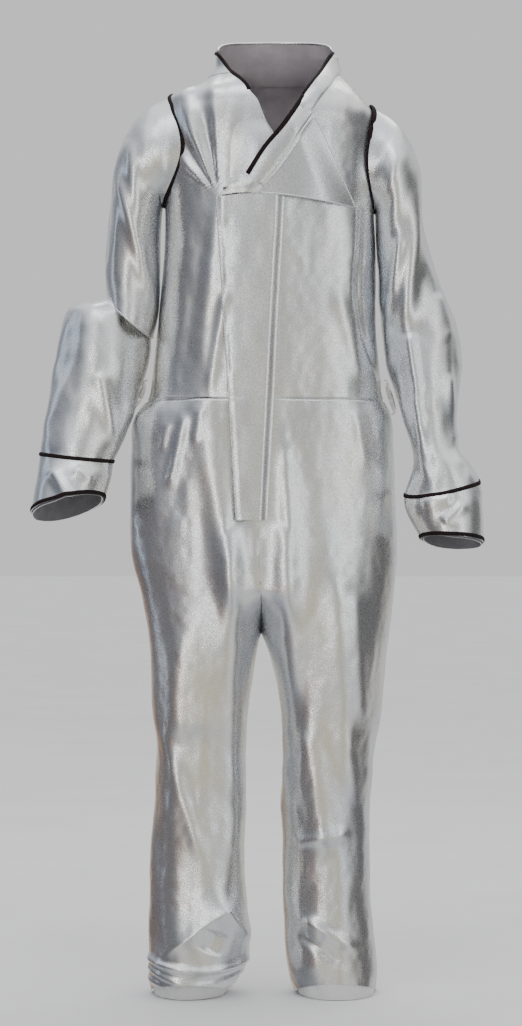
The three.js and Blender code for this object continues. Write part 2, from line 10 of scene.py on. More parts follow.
import bpy
import numpy as np
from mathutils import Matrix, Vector

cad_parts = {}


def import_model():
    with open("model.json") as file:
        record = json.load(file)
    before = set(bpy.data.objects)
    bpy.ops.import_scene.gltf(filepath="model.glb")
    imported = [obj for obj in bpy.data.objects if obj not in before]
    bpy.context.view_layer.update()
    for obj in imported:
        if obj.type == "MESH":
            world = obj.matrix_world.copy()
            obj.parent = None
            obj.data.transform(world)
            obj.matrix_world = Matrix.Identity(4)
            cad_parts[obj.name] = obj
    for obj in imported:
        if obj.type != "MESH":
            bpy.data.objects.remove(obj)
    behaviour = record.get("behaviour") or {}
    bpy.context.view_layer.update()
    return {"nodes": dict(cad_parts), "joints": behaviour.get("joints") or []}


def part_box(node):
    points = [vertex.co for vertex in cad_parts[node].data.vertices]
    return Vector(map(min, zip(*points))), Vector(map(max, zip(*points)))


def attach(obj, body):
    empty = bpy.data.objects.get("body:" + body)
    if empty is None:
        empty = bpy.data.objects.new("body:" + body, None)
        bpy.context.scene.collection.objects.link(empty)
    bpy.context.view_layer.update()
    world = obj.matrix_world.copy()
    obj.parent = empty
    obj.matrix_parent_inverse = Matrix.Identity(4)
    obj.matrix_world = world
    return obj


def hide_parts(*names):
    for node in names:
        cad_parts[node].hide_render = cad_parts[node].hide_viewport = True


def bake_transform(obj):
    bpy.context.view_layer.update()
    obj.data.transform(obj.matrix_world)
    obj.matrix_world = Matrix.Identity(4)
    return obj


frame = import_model()
joints = {joint["name"]: joint for joint in frame["joints"]}

SIDES = {"right": -1, "left": 1}
CLOTH = 0.0014  # thickness of the cloth
TAPE_WIDTH = 0.025  # strips up to this width are tapes
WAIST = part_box("back_panel")[0][2]
ZIP_X = sum(corner[0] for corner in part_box("zip_bottom_stop")) / 2
ZIP_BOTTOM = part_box("zip_bottom_stop")[1][2]
ZIP_SLOT = 0.007  # from the zip's centre line to a panel's edge
CHEST_FRONT = -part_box("right_front_panel")[0][1]
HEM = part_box("right_hem_facing")[0][2]
NECK_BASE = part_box("back_panel")[1][2]
COLLAR_CORNER = 0.0940
FORK_X = -0.0095  # the centre seam leans a little towards the wearer's right
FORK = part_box("crotch_gusset")[0][2]
FORK_TOP = FORK + 0.080  # the legs start to part here
THIGH_SPLIT = FORK - 0.075  # where the hip piece of a trouser leg ends and the knee piece starts
WAIST_ZONE, WAIST_STEP = 0.009, 0.0011  # the rows beside the waist seam, closer together for its groove
FOOT_ZONE = -1.375  # below this height the trousers' rows are closer together for the crumple of the foot
# How far the layers of the front lie above the jacket's cloth, or below it.
LAYERS = {"fly": -0.0115, "zip_tape": -0.0036, "loop": 0.0018, "hook": 0.0058}


# ---- Numbers into smooth shapes ----
def ease(value, low, high):
    """0 at low, 1 at high, smooth in between."""
    share = np.clip((np.asarray(value, float) - low) / (high - low), 0, 1)
    return share * share * (3 - 2 * share)


def glide(stations, at):
    """Stations are rows that start with a rising place. Fills in their other columns at other places."""
    table = np.asarray(stations, float)
    places, values = table[:, 0], table[:, 1:]
    slopes = np.gradient(values, places, axis=0)
    at = np.clip(np.asarray(at, float), places[0], places[-1])
    i = np.clip(np.searchsorted(places, at, side="right") - 1, 0, len(places) - 2)
    span = (places[i + 1] - places[i])[..., None]
    t = (at - places[i])[..., None] / span
    rise = t * t * (3 - 2 * t)
    leave = t * (1 - t) ** 2
    arrive = t * t * (t - 1)
    return values[i] * (1 - rise) + values[i + 1] * rise + span * (leave * slopes[i] + arrive * slopes[i + 1])


def lattice(corner, seed):
    """A steady pseudo-random number between -1 and 1 for every whole-number corner."""
    mixed = corner @ np.array([374761393, 668265263, 2147483647]) + seed * 974634777
    mixed = (mixed ^ (mixed >> 13)) * 1274126177
    mixed = mixed ^ (mixed >> 16)
    return (mixed & 0xFFFF) / 32767.5 - 1


def noise(points, scale, seed):
    """Smooth noise between -1 and 1; scale is in waves per metre along x, y and z."""
    place = points * np.asarray(scale, float)
    base = np.floor(place).astype(np.int64)
    share = place - base
    share = share * share * share * (share * (6 * share - 15) + 10)
    total = np.zeros(points.shape[:-1])
    for corner in np.ndindex(2, 2, 2):
        weight = np.prod(np.where(np.array(corner) == 1, share, 1 - share), axis=-1)
        total += weight * lattice(base + np.array(corner), seed)
    return total


def from_line(points, start, end):
    """Each point's share of the way along a line in the x, z plane, and its distance from the line."""
    flat = points[..., [0, 2]] - np.array(start)
    along = np.array(end) - np.array(start)
    share = np.clip(flat @ along / (along @ along), 0, 1)
    return share, np.linalg.norm(flat - share[..., None] * along, axis=-1)


def ridge(points, start, end, width):
    """1 on the line from start to end, falling smoothly to 0 about it."""
    share, away = from_line(points, start, end)
    fade = ease(share, 0, 0.15) * (1 - ease(share, 0.8, 1))
    return np.exp(-((away / width) ** 2)) * (0.15 + 0.85 * fade)


def ridges(points, folds):
    """All the folds of a list: start, end, height and width. A negative height is a groove."""
    return sum(height * ridge(points, start, end, width) for start, end, height, width in folds)


def crease(points, start, end, width):
    """Like ridge, but with a sharp crest between its flanks."""
    share, away = from_line(points, start, end)
    return np.exp(-np.sqrt((away / width) ** 2 + 0.004)) * (1 - 0.7 * ease(share, 0.6, 1))


def wave(value, centre, width):
    """1 at the centre, falling smoothly to 0 about it."""
    return np.exp(-(((value - centre) / width) ** 2))


def towards(start, end, share):
    return start + (end - start) * share


def between(start, end, count):
    return np.linspace(start, end, count)


def superellipse(share, power):
    return np.clip(1 - np.abs(share) ** power, 0, 1) ** (1 / power)


# ---- The jacket's surface ----
# height, right side, left side, front depth, back depth, boxiness
JACKET = [
    (-0.880, -0.221, 0.221, 0.118, 0.120, 2.5),
    (-0.790, -0.238, 0.228, 0.118, 0.126, 2.5),
    (-0.700, -0.243, 0.227, 0.118, 0.127, 2.5),
    (-0.607, -0.241, 0.225, 0.118, 0.124, 2.5),
    (-0.545, -0.234, 0.219, 0.118, 0.118, 2.5),
    (-0.514, -0.208, 0.203, 0.118, 0.112, 2.5),
    (-0.480, -0.202, 0.199, 0.118, 0.110, 2.5),
    (-0.423, -0.195, 0.193, 0.118, 0.109, 2.5),
    (-0.285, -0.184, 0.190, 0.118, 0.116, 2.5),
    (-0.180, -0.181, 0.189, 0.118, 0.120, 2.5),
    (-0.100, -0.183, 0.192, 0.118, 0.118, 2.5),
    (-0.050, -0.184, 0.195, 0.117, 0.115, 2.5),
    (-0.008, -0.180, 0.190, 0.112, 0.111, 2.5),
    (0.019, -0.166, 0.166, 0.104, 0.105, 2.4),
    (0.040, -0.118, 0.143, 0.091, 0.095, 2.3),
    (0.061, -0.094, 0.127, 0.076, 0.084, 2.2),
    (0.087, -0.090, 0.118, 0.066, 0.076, 2.2),
    (0.122, -0.082, 0.110, 0.060, 0.070, 2.2),
]


def jacket_section(z):
    right, left, front, back, power = np.moveaxis(glide(JACKET, z), -1, 0)
    return (left + right) / 2, (left - right) / 2, front, back, power


def jacket_y(x, z, facing):
    """The surface's y at x and z: facing is -1 for the front and 1 for the back."""
    middle, half, front, back, power = jacket_section(z)
    depth = front if facing < 0 else back
    return facing * depth * superellipse((x - middle) / half, power)


# Armholes: centre height, half height, front reach, back reach. The left one is turned further to the side.
ARMHOLE = {"right": (-0.079, 0.098, 0.084, 0.084), "left": (-0.094, 0.094, 0.064, 0.084)}


def armhole_point(side, angle):
    """A point on the armhole's edge: angle 0 is the top, and a quarter turn is the front."""
    centre, rise, front, back = ARMHOLE[side]
    z = centre + rise * np.cos(angle)
    reach = np.where(np.sin(angle) > 0, front, back)
    y = -reach * np.sin(angle)
    middle, half, front_depth, back_depth, power = jacket_section(z)
    depth = np.where(y < 0, front_depth, back_depth)
    x = middle + SIDES[side] * half * superellipse(y / depth, power)
    return np.stack([x, y, z], axis=-1)


def side_edge(side, z, facing):
    """The x at which a jacket panel ends: the side seam, or the armhole's edge."""
    centre, rise, front, back = ARMHOLE[side]
    middle, half, front_depth, back_depth, power = jacket_section(z)
    climb = np.clip((z - centre) / rise, -1, 1)
    reach = (front if facing < 0 else back) * np.sqrt(1 - climb**2)
    depth = front_depth if facing < 0 else back_depth
    return middle + SIDES[side] * half * superellipse(reach / depth, power)


# The neck edge of each front panel: height, x.
NECK_EDGE = {
    "right": [(-0.100, ZIP_X - ZIP_SLOT), (-0.091, -0.020), (-0.080, 0.003), (-0.066, 0.011), (-0.045, 0.000),
              (-0.023, -0.009), (-0.002, -0.018), (0.012, -0.030), (0.021, -0.034), (0.052, -0.062),
              (0.094, -0.090)],
    "left": [(-0.100, ZIP_X + ZIP_SLOT), (-0.060, 0.020), (0.005, 0.064), (0.050, 0.094), (0.094, 0.117)],
}


def neck_edge(side, z):
    return glide(NECK_EDGE[side], z)[..., 0]


# ---- Folds ----
CREASE = [  # z and x of the long crease of the left front
    (-0.520, 0.204), (-0.486, 0.200), (-0.430, 0.176), (-0.347, 0.157), (-0.260, 0.160), (-0.190, 0.166),
]
FLAP_TIP = (-0.084, -0.172)  # where the shoulder's folds gather at the throat flap's corner
LEG_APEX = (-0.076, -1.407)  # where the crumple of the right trouser leg starts
KNEE_FOLDS = -1.155  # the height of the folds across the knees


# Folds of the front: start, end, height and width. The last four are where the belt's pull gathers the cloth.
FRONT_FOLDS = [
    (FLAP_TIP, (-0.118, -0.500), 0.0028, 0.0140),
    ((-0.105, -0.220), (-0.150, -0.480), -0.0020, 0.0120),
    ((-0.070, -0.330), (-0.100, -0.515), 0.0035, 0.0090),
    ((0.120, -0.330), (0.165, -0.500), 0.0035, 0.0120),
    ((-0.138, -0.540), (-0.170, -0.680), 0.0036, 0.0090),
    ((-0.112, -0.535), (-0.124, -0.600), 0.0020, 0.0060),
    ((-0.170, -0.560), (-0.182, -0.610), 0.0018, 0.0060),
    ((0.150, -0.535), (0.172, -0.640), 0.0024, 0.0090),
]


# Folds of the back: start, end, height and width. Each is also drawn mirrored, a little lower and weaker.
BACK_FOLDS = [
    ((-0.135, -0.130), (-0.060, -0.420), 0.0050, 0.013),
    ((-0.165, -0.250), (-0.090, -0.500), 0.0045, 0.010),
    ((-0.160, -0.400), (-0.050, -0.490), 0.0040, 0.010),
    ((-0.150, -0.545), (-0.120, -0.700), 0.0045, 0.012),
    ((-0.205, -0.740), (-0.050, -0.870), 0.0060, 0.014),
    ((-0.195, -0.800), (-0.070, -0.920), 0.0050, 0.012),
    ((-0.185, -1.080), (-0.060, -1.140), 0.0050, 0.012),
    ((-0.190, -1.150), (-0.070, -1.185), 0.0045, 0.011),
    ((-0.110, -1.200), (-0.140, -1.420), 0.0060, 0.016),
    ((-0.175, -1.470), (-0.070, -1.505), 0.0045, 0.010),
]
MIRRORED_FOLDS = [
    ((-start_x, start_z - 0.02), (-end_x, end_z - 0.03), 0.8 * height, width)
    for (start_x, start_z), (end_x, end_z), height, width in BACK_FOLDS
]


def calm(points):
    """Keeps the cloth still beside the zip, under the flaps and at the seam between the legs."""
    x, y, z = np.moveaxis(points, -1, 0)
    beside = ease(np.abs(x - ZIP_X), 0.022, 0.06)
    below = 1 - ease(z, ZIP_BOTTOM - 0.05, ZIP_BOTTOM - 0.01)
    parting = ease(z, FORK - 0.02, FORK) * (1 - ease(z, FORK_TOP, FORK_TOP + 0.04))
    seam = (1 - ease(np.abs(x - FORK_X), 0.001, 0.022)) * parting
    return np.where(y < 0, np.maximum(beside, below), 1) * (1 - seam)


def jacket_folds(points):
    """How far the jacket's and trousers' cloth stands out of its smooth surface."""
    x, y, z = np.moveaxis(points, -1, 0)
    front = ease(-y, 0, 0.03)
    depth = 0.0042 * noise(points, (16, 16, 3.0), 1) + 0.0030 * noise(points, (8, 8, 5.0), 2)
    depth += 0.0011 * noise(points, (38, 38, 16), 3) + 0.0004 * noise(points, (95, 95, 60), 4)
    # Folds that fan out from the throat flap's corner towards the right shoulder.
    angle = np.arctan2(z - FLAP_TIP[1], x - FLAP_TIP[0]) - math.pi / 2
    reach = np.hypot(x - FLAP_TIP[0], z - FLAP_TIP[1])
    fan = ease(angle, -0.05, 0.10) * (1 - ease(angle, 0.75, 1.0)) * ease(reach, 0.008, 0.05)
    fan *= (1 - ease(reach, 0.17, 0.24)) * (1 - ease(-x, 0.130, 0.158))
    depth += front * fan * 0.0052 * np.cos(15.5 * angle + 0.6)
    # The long crease of the left front, with a soft rise beside it.
    crease_x = glide(CREASE, np.clip(z, CREASE[0][0], CREASE[-1][0]))[..., 0]
    in_crease = ease(z, -0.53, -0.47) * (1 - ease(z, -0.20, -0.17)) * front
    depth -= in_crease * 0.0045 * wave(x, crease_x, 0.006)
    depth += in_crease * 0.0030 * ease(crease_x - x, 0, 0.012) * (1 - ease(crease_x - x, 0.012, 0.05))
    depth += front * ridges(points, FRONT_FOLDS)
    depth += ease(y, 0, 0.03) * ridges(points, BACK_FOLDS + MIRRORED_FOLDS)
    # The waist seam's groove, and the cloth gathered on both sides of it.
    depth -= 0.0024 * wave(z, WAIST, 0.0018)
    gather = np.exp(-np.abs(z - WAIST) / 0.045)
    depth += 0.0016 * gather * noise(points, (42, 42, 9), 5)
    return depth * calm(points)


# Folds down the fronts of the legs: start, end, height and width. The last ones are at the feet.
LEG_RIDGES = [
    ((-0.120, -0.480), (-0.060, -0.900), 0.0060, 0.024),
    ((-0.062, -0.700), (-0.058, -1.420), 0.0100, 0.020),
    ((-0.150, -0.900), (-0.165, -1.300), 0.0050, 0.018),
    ((-0.180, -1.080), (-0.110, -1.330), 0.0045, 0.012),
    ((0.022, -0.560), (0.050, -1.080), 0.0085, 0.020),
    ((0.150, -0.840), (0.165, -1.100), 0.0080, 0.016),
    ((0.118, -0.800), (0.150, -1.240), 0.0060, 0.018),
    ((0.060, -1.080), (0.110, -1.330), 0.0060, 0.024),
    ((-0.088, -1.440), (-0.104, -1.478), -0.0060, 0.018),
    ((0.040, -1.290), (0.150, -1.270), 0.0045, 0.009),
    ((0.060, -1.420), (0.160, -1.475), 0.0045, 0.010),
    ((0.050, -1.445), (0.135, -1.500), -0.0035, 0.009),
]
FOOT_CREASES = [((-0.178, -1.486), 0.024), ((-0.026, -1.474), 0.020)]  # end and width, from LEG_APEX
FOOT_WRINKLES = [(-1.497, 0.012, 0.0065), (-1.514, 0.020, 0.0050), (-1.533, 0.012, 0.0045)]  # z, sag, height


def leg_folds(points):
    """Extra folds of the trouser legs, the sharpest at the right leg's foot."""
    x, y, z = np.moveaxis(points, -1, 0)
    front = ease(-y, -0.01, 0.03)
    low = 1 - ease(z, -1.22, -1.02)
    depth = low * (0.0040 * noise(points, (11, 11, 4.5), 11) + 0.0016 * noise(points, (30, 30, 18), 12))
    depth += 0.0040 * wave(z, KNEE_FOLDS, 0.10) * noise(points, (7, 7, 16), 13)
    for end, width in FOOT_CREASES:
        depth += front * 0.0130 * crease(points, LEG_APEX, end, width)
    on_right = 1 - ease(x, -0.035, -0.010)
    for height, sag, size in FOOT_WRINKLES:
        depth += front * on_right * size * wave(z, height - sag * np.sin((x + 0.20) * 19), 0.0065)
    depth += front * ridges(points, LEG_RIDGES)
    return depth * calm(points)


# ---- Grids into cloth ----
def grid_normals(grid, outward, closed=False):
    """Unit normals of a grid of points, turned towards the side that `outward` marks."""
    if closed:
        padded = np.concatenate([grid[:, -2:-1], grid, grid[:, 1:2]], axis=1)
        across = np.gradient(padded, axis=1)[:, 1:-1]
    else:
        across = np.gradient(grid, axis=1)
    normals = np.cross(across, np.gradient(grid, axis=0))
    length = np.linalg.norm(normals, axis=-1, keepdims=True)
    normals = normals / np.maximum(length, 1e-12)
    turned = np.sum(normals * outward) < 0
    return -normals if turned else normals


def mesh_object(name, vertices, faces, slots, corner_normals, materials):
    mesh = bpy.data.meshes.new(name)
    mesh.from_pydata(vertices.tolist(), [], faces)
    mesh.polygons.foreach_set("material_index", slots)
    mesh.polygons.foreach_set("use_smooth", [True] * len(faces))
    for material in materials:
        mesh.materials.append(material)
    if corner_normals is not None:
        mesh.normals_split_custom_set(corner_normals)
    piece = bpy.data.objects.new(name, mesh)
    bpy.context.scene.collection.objects.link(piece)
    return piece


def cloth(name, grid, normals, materials, thickness=CLOTH, closed=False):
    """A solid sheet with the grid as its outer face. Materials: outer face, inner face, edges.
    closed joins the grid's last column to its first, which lies in the same place."""
    if closed:
        grid, normals = grid[:, :-1], normals[:, :-1]
    rows, columns = grid.shape[:2]
    outer = grid.reshape(-1, 3)
    facing = normals.reshape(-1, 3)
    vertices = np.concatenate([outer, outer - facing * thickness])
    number = np.arange(rows * columns).reshape(rows, columns)
    following = np.roll(number, -1, axis=1)
    if not closed:
        number, following = number[:, :-1], following[:, :-1]
    quads = np.stack([number[:-1], following[:-1], following[1:], number[1:]], axis=-1).reshape(-1, 4)
    a, b, c = (outer[quads[:, k]] for k in range(3))
    if np.sum(np.cross(b - a, c - b) * facing[quads[:, 0]]) < 0:
        quads = quads[:, ::-1]
    inner = quads[:, ::-1] + rows * columns
    all_numbers = np.arange(rows * columns).reshape(rows, columns)
    borders = []
    for line in (all_numbers[0], all_numbers[-1]):
        borders.append(np.concatenate([line, line[:1]]) if closed else line)
    if not closed:
        borders += [all_numbers[:, 0], all_numbers[:, -1]]
    rims = []
    for line in borders:
        below = line + rows * columns
        rims.append(np.stack([line[:-1], line[1:], below[1:], below[:-1]], axis=-1))
    rims = outward_rims(np.concatenate(rims), quads)
    faces = np.concatenate([quads, inner, rims])
    slots = np.repeat([0, 1, 2], [len(quads), len(inner), len(rims)])
    edge_normals = np.cross(
        vertices[rims[:, 1]] - vertices[rims[:, 0]], vertices[rims[:, 2]] - vertices[rims[:, 1]]
    )
    edge_normals /= np.maximum(np.linalg.norm(edge_normals, axis=1, keepdims=True), 1e-12)
    corner_normals = np.concatenate([
        facing[quads.reshape(-1)],
        -facing[(inner - rows * columns).reshape(-1)],
        np.repeat(edge_normals, 4, axis=0),
    ])
    piece = mesh_object(name, vertices, faces.tolist(), slots.tolist(), corner_normals.tolist(), materials)
    declare_sheet(grid, closed)
    return piece


def declare_sheet(grid, closed):
    """Measures the width and length that a piece of cloth's grid spans, and returns early for a narrow strip,
    which is only a tape. It records nothing.
    """
    across = np.concatenate([grid, grid[:, :1]], axis=1) if closed else grid
    width = np.linalg.norm(np.diff(across, axis=1), axis=-1).sum(axis=1).max()
    length = np.linalg.norm(np.diff(grid, axis=0), axis=-1).sum(axis=0).max()
    if min(width, length) < TAPE_WIDTH:
        return


def outward_rims(rims, quads):
    """Turns each edge face so that its shared side runs against the outer face beside it."""
    used = {(int(q[k]), int(q[(k + 1) % 4])) for q in quads for k in range(4)}
    return np.array([rim[::-1] if (int(rim[0]), int(rim[1])) in used else rim for rim in rims])


def jacket_grid(heights, left_of, right_of, facing, columns):
    """Points on the jacket between two x lines, closer together near its sides."""
    share = (1 - np.cos(between(0, math.pi, columns))) / 2
    z = heights[:, None] * np.ones(columns)
    start, end = left_of(heights)[:, None], right_of(heights)[:, None]
    x = start + (end - start) * share
    return np.stack([x, jacket_y(x, z, facing), z], axis=-1)


def folded(grid, outward, *fields):
    """The grid with its folds, and its normals."""
    normals = grid_normals(grid, outward)
    depth = sum(field(grid) for field in fields)
    grid = grid + normals * depth[..., None]
    return grid, grid_normals(grid, outward)


# ---- Materials ----
class Nodes:
    """The nodes of a new material or world, with short ways to add and join them."""

    def __init__(self, owner, main_node="Principled BSDF"):
        owner.use_nodes = True
        self.owner = owner
        self.tree = owner.node_tree
        self.main = self.tree.nodes[main_node]

    def add(self, kind, inputs=None, **settings):
        node = self.tree.nodes.new(kind)
        for key, value in settings.items():
            setattr(node, key, value)
        for key, value in (inputs or {}).items():
            self.put(node, key, value)
        return node

    def put(self, node, key, value):
        if isinstance(value, bpy.types.NodeSocket):
            self.tree.links.new(value, node.inputs[key])
        else:
            node.inputs[key].default_value = value

    def set(self, **inputs):
        for key, value in inputs.items():
            self.put(self.main, key.replace("_", " "), value)

    def place(self):
        return self.add("ShaderNodeTexCoord").outputs["Object"]

    def noise(self, scale, detail=3.0, roughness=0.55, vector=None):
        inputs = {"Vector": vector or self.place(), "Scale": scale, "Detail": detail, "Roughness": roughness}
        return self.add("ShaderNodeTexNoise", inputs).outputs["Fac"]

    def stretched(self, scale):
        return self.add("ShaderNodeMapping", {"Vector": self.place(), "Scale": scale}).outputs["Vector"]

    def ramp(self, fac, stops, interpolation="LINEAR"):
        node = self.add("ShaderNodeValToRGB", {"Fac": fac})
        node.color_ramp.interpolation = interpolation
        elements = node.color_ramp.elements
        while len(elements) < len(stops):
            elements.new(0.5)
        for element, (position, colour) in zip(elements, stops):
            element.position = position
            element.color = (*colour, 1)
        return node.outputs["Color"]

    def range(self, value, low, high, start=0.3, end=0.7, kind="LINEAR"):
        """Runs from low, where the value is start, to high, where it is end."""
        inputs = {"Value": value, "From Min": start, "From Max": end, "To Min": low, "To Max": high}
        return self.add("ShaderNodeMapRange", inputs, interpolation_type=kind).outputs["Result"]

    def compute(self, operation, *values):
        return self.add("ShaderNodeMath", dict(enumerate(values)), operation=operation).outputs[0]

    def mix(self, kind, share, first, second):
        inputs = {"Fac": share, "Color1": first, "Color2": second}
        return self.add("ShaderNodeMixRGB", inputs, blend_type=kind).outputs["Color"]

    def bump(self, height, strength, distance, normal=None):
        inputs = {"Height": height, "Strength": strength, "Distance": distance}
        if normal is not None:
            inputs["Normal"] = normal
        return self.add("ShaderNodeBump", inputs).outputs["Normal"]

    def weave(self, pitch):
        """Two crossed sets of threads, the same way all over, in the row frame."""
        turn = math.tau / pitch
        split = self.add("ShaderNodeSeparateXYZ", {"Vector": self.place()})
        around = self.compute("ADD", split.outputs["X"], split.outputs["Y"])
        threads = [
            self.compute("SINE", self.compute("MULTIPLY", direction, turn))
            for direction in (around, split.outputs["Z"])
        ]
        return self.compute("MULTIPLY", *threads)


def new_material(name):
    return Nodes(bpy.data.materials.new(name))


def silver_cloth():
    nodes = new_material("metallised_cloth")
    clouds = nodes.noise(9.0, 4.0, 0.6, nodes.stretched((1.0, 1.0, 0.35)))
    pebbles = nodes.noise(420.0, 2.0, 0.5)
    crinkle = nodes.noise(70.0, 3.0, 0.5)
    shades = [(0.32, (0.70, 0.73, 0.78)), (0.52, (0.78, 0.79, 0.80)), (0.70, (0.80, 0.79, 0.76))]
    pebbled = nodes.bump(pebbles, 0.22, 0.0005, nodes.bump(crinkle, 0.20, 0.0010))
    nodes.set(
        Base_Color=nodes.ramp(clouds, shades),
        Metallic=0.95,
        Roughness=nodes.range(pebbles, 0.22, 0.34),
        Normal=nodes.bump(nodes.weave(0.0018), 0.16, 0.0002, pebbled),
    )
    return nodes.owner


def plain_cloth(name, dark, light, pitch, roughness=0.85, sheen=0.15):
    """A matte woven cloth."""
    nodes = new_material(name)
    fibres = nodes.noise(900.0, 3.0, 0.6)
    patches = nodes.noise(24.0, 3.0, 0.6)
    blend = nodes.compute("MULTIPLY", fibres, patches)
    nodes.set(
        Base_Color=nodes.ramp(blend, [(0.15, dark), (0.38, light)]),
        Roughness=nodes.range(patches, roughness - 0.05, min(1, roughness + 0.06)),
        Normal=nodes.bump(nodes.weave(pitch), 0.5, 0.0003, nodes.bump(fibres, 0.3, 0.0002)),
        Sheen_Weight=sheen,
        Specular_IOR_Level=0.25,
    )
    return nodes.owner


def pile_cloth():
    nodes = new_material("hook_and_loop_pile")
    tufts = nodes.add("ShaderNodeTexVoronoi", {"Vector": nodes.place(), "Scale": 750.0}).outputs["Distance"]
    nodes.set(
        Base_Color=nodes.ramp(tufts, [(0.1, (0.20, 0.20, 0.21)), (0.7, (0.06, 0.06, 0.065))]),
        Roughness=0.95,
        Normal=nodes.bump(tufts, 0.9, 0.0012),
        Sheen_Weight=0.4,
    )
    return nodes.owner


def moulded_teeth():
    nodes = new_material("moulded_zip_teeth")
    grain = nodes.noise(600.0)
    nodes.set(
        Base_Color=nodes.ramp(grain, [(0.3, (0.30, 0.31, 0.33)), (0.7, (0.38, 0.39, 0.41))]),
        Roughness=nodes.range(grain, 0.38, 0.52),
        Normal=nodes.bump(grain, 0.2, 0.0002),
    )
    return nodes.owner


def brushed_brass():
    nodes = new_material("brushed_brass")
    brushing = nodes.noise(300.0, 4.0, 0.6, nodes.stretched((8.0, 1.0, 1.0)))
    nodes.set(
        Base_Color=nodes.ramp(brushing, [(0.3, (0.52, 0.40, 0.20)), (0.7, (0.70, 0.57, 0.32))]),
        Metallic=1.0,
        Roughness=nodes.range(brushing, 0.24, 0.40),
        Normal=nodes.bump(brushing, 0.15, 0.0002),
    )
    return nodes.owner


SILVER = silver_cloth()
LINING = plain_cloth("grey_lining", (0.42, 0.38, 0.40), (0.58, 0.53, 0.55), 0.0012)
# The grey lining made darker for the insides of the cuffs: painted shade.
SHADED_CUFF_LINING = plain_cloth("cuff_lining", (0.17, 0.165, 0.17), (0.26, 0.25, 0.26), 0.0012)
FACING = plain_cloth("white_facing", (0.76, 0.76, 0.75), (0.90, 0.90, 0.89), 0.0012)
BINDING = plain_cloth("dark_binding", (0.006, 0.002, 0.0025), (0.018, 0.005, 0.006), 0.0014, 0.75, sheen=0.0)
ZIP_TAPE = plain_cloth("zip_tape_cloth", (0.03, 0.03, 0.034), (0.07, 0.07, 0.075), 0.0010)
PILE = pile_cloth()
TEETH = moulded_teeth()
BRASS = brushed_brass()
SILVER_SHEET = (SILVER, LINING, SILVER)


def sew(piece, slot, nodes, body, blend_to=None, start=None, end=None):
    """Hides the CAD nodes that a piece stands for, and parents the piece to its body. A piece with blend_to
    is only fixed where it lies and follows no body. The slot is not used.
    """
    if nodes:
        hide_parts(*nodes)
    if blend_to:
        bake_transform(piece)
    else:
        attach(piece, body)
    return piece


# ---- Jacket panels ----
def panel_heights(low, high, step):
    return between(high, low, int(round((high - low) / step)) + 1)


def jacket_panels():
    heights = np.concatenate([
        panel_heights(0.0215, NECK_BASE, 0.0022)[:-1],
        panel_heights(-0.185, 0.0215, 0.0042)[:-1],
        panel_heights(WAIST + WAIST_ZONE, -0.185, 0.006)[:-1],
        panel_heights(WAIST, WAIST + WAIST_ZONE, WAIST_STEP),
    ])
    for side in SIDES:
        grid = jacket_grid(heights, lambda z: neck_edge(side, z), lambda z: side_edge(side, z, -1), -1, 60)
        grid, normals = folded(grid, (0, -1, 0), jacket_folds)
        piece = cloth(f"{side}_front", grid, normals, SILVER_SHEET)
        sew(piece, "silver_cloth", [f"{side}_front_panel"], "suit_body")
    grid = jacket_grid(heights, lambda z: side_edge("right", z, 1), lambda z: side_edge("left", z, 1), 1, 110)
    grid, normals = folded(grid, (0, 1, 0), jacket_folds)
    sew(cloth("back", grid, normals, SILVER_SHEET), "silver_cloth", ["back_panel"], "suit_body")


def collar_grid():
    """The stand collar, from the left front edge round the back to the right front edge."""
    columns, rows = 120, 18
    turn = between(0, 1, columns)
    top = COLLAR_CORNER + 0.0300 * np.sin(math.pi * turn) ** 0.5
    grid = np.zeros((rows, columns, 3))
    for row, share in enumerate(between(0, 1, rows)):
        z = towards(NECK_BASE, top, share)
        middle, half, front, back, power = jacket_section(z)
        starts = np.arccos(np.clip((neck_edge("left", z) - middle) / half, -1, 1))
        stops = np.arccos(np.clip((neck_edge("right", z) - middle) / half, -1, 1))
        angle = -starts + turn * (starts + 2 * math.pi - stops)
        cosine, sine = np.cos(angle), np.sin(angle)
        x = middle + half * np.sign(cosine) * np.abs(cosine) ** (2 / power)
        depth = np.where(sine < 0, front, back)
        y = depth * np.sign(sine) * np.abs(sine) ** (2 / power)
        grid[row] = np.stack([x, y, z], axis=-1)
    return grid


def collar():
    grid = collar_grid()
    outward = grid - grid.mean(axis=(0, 1))
    outward[..., 2] = 0
    grid, normals = folded(grid, outward, lambda points: 0.35 * jacket_folds(points))
    piece = cloth("collar_stand", grid, normals, (SILVER, LINING, FACING), thickness=0.0022)
    sew(piece, "silver_cloth", ["collar"], "suit_body")
    edge = binding("collar_edge", grid[-1] - normals[-1] * 0.0011, normals[-1], 0.0022, 0.0019, SILVER)
    sew(edge, "silver_cloth", [], "suit_body")


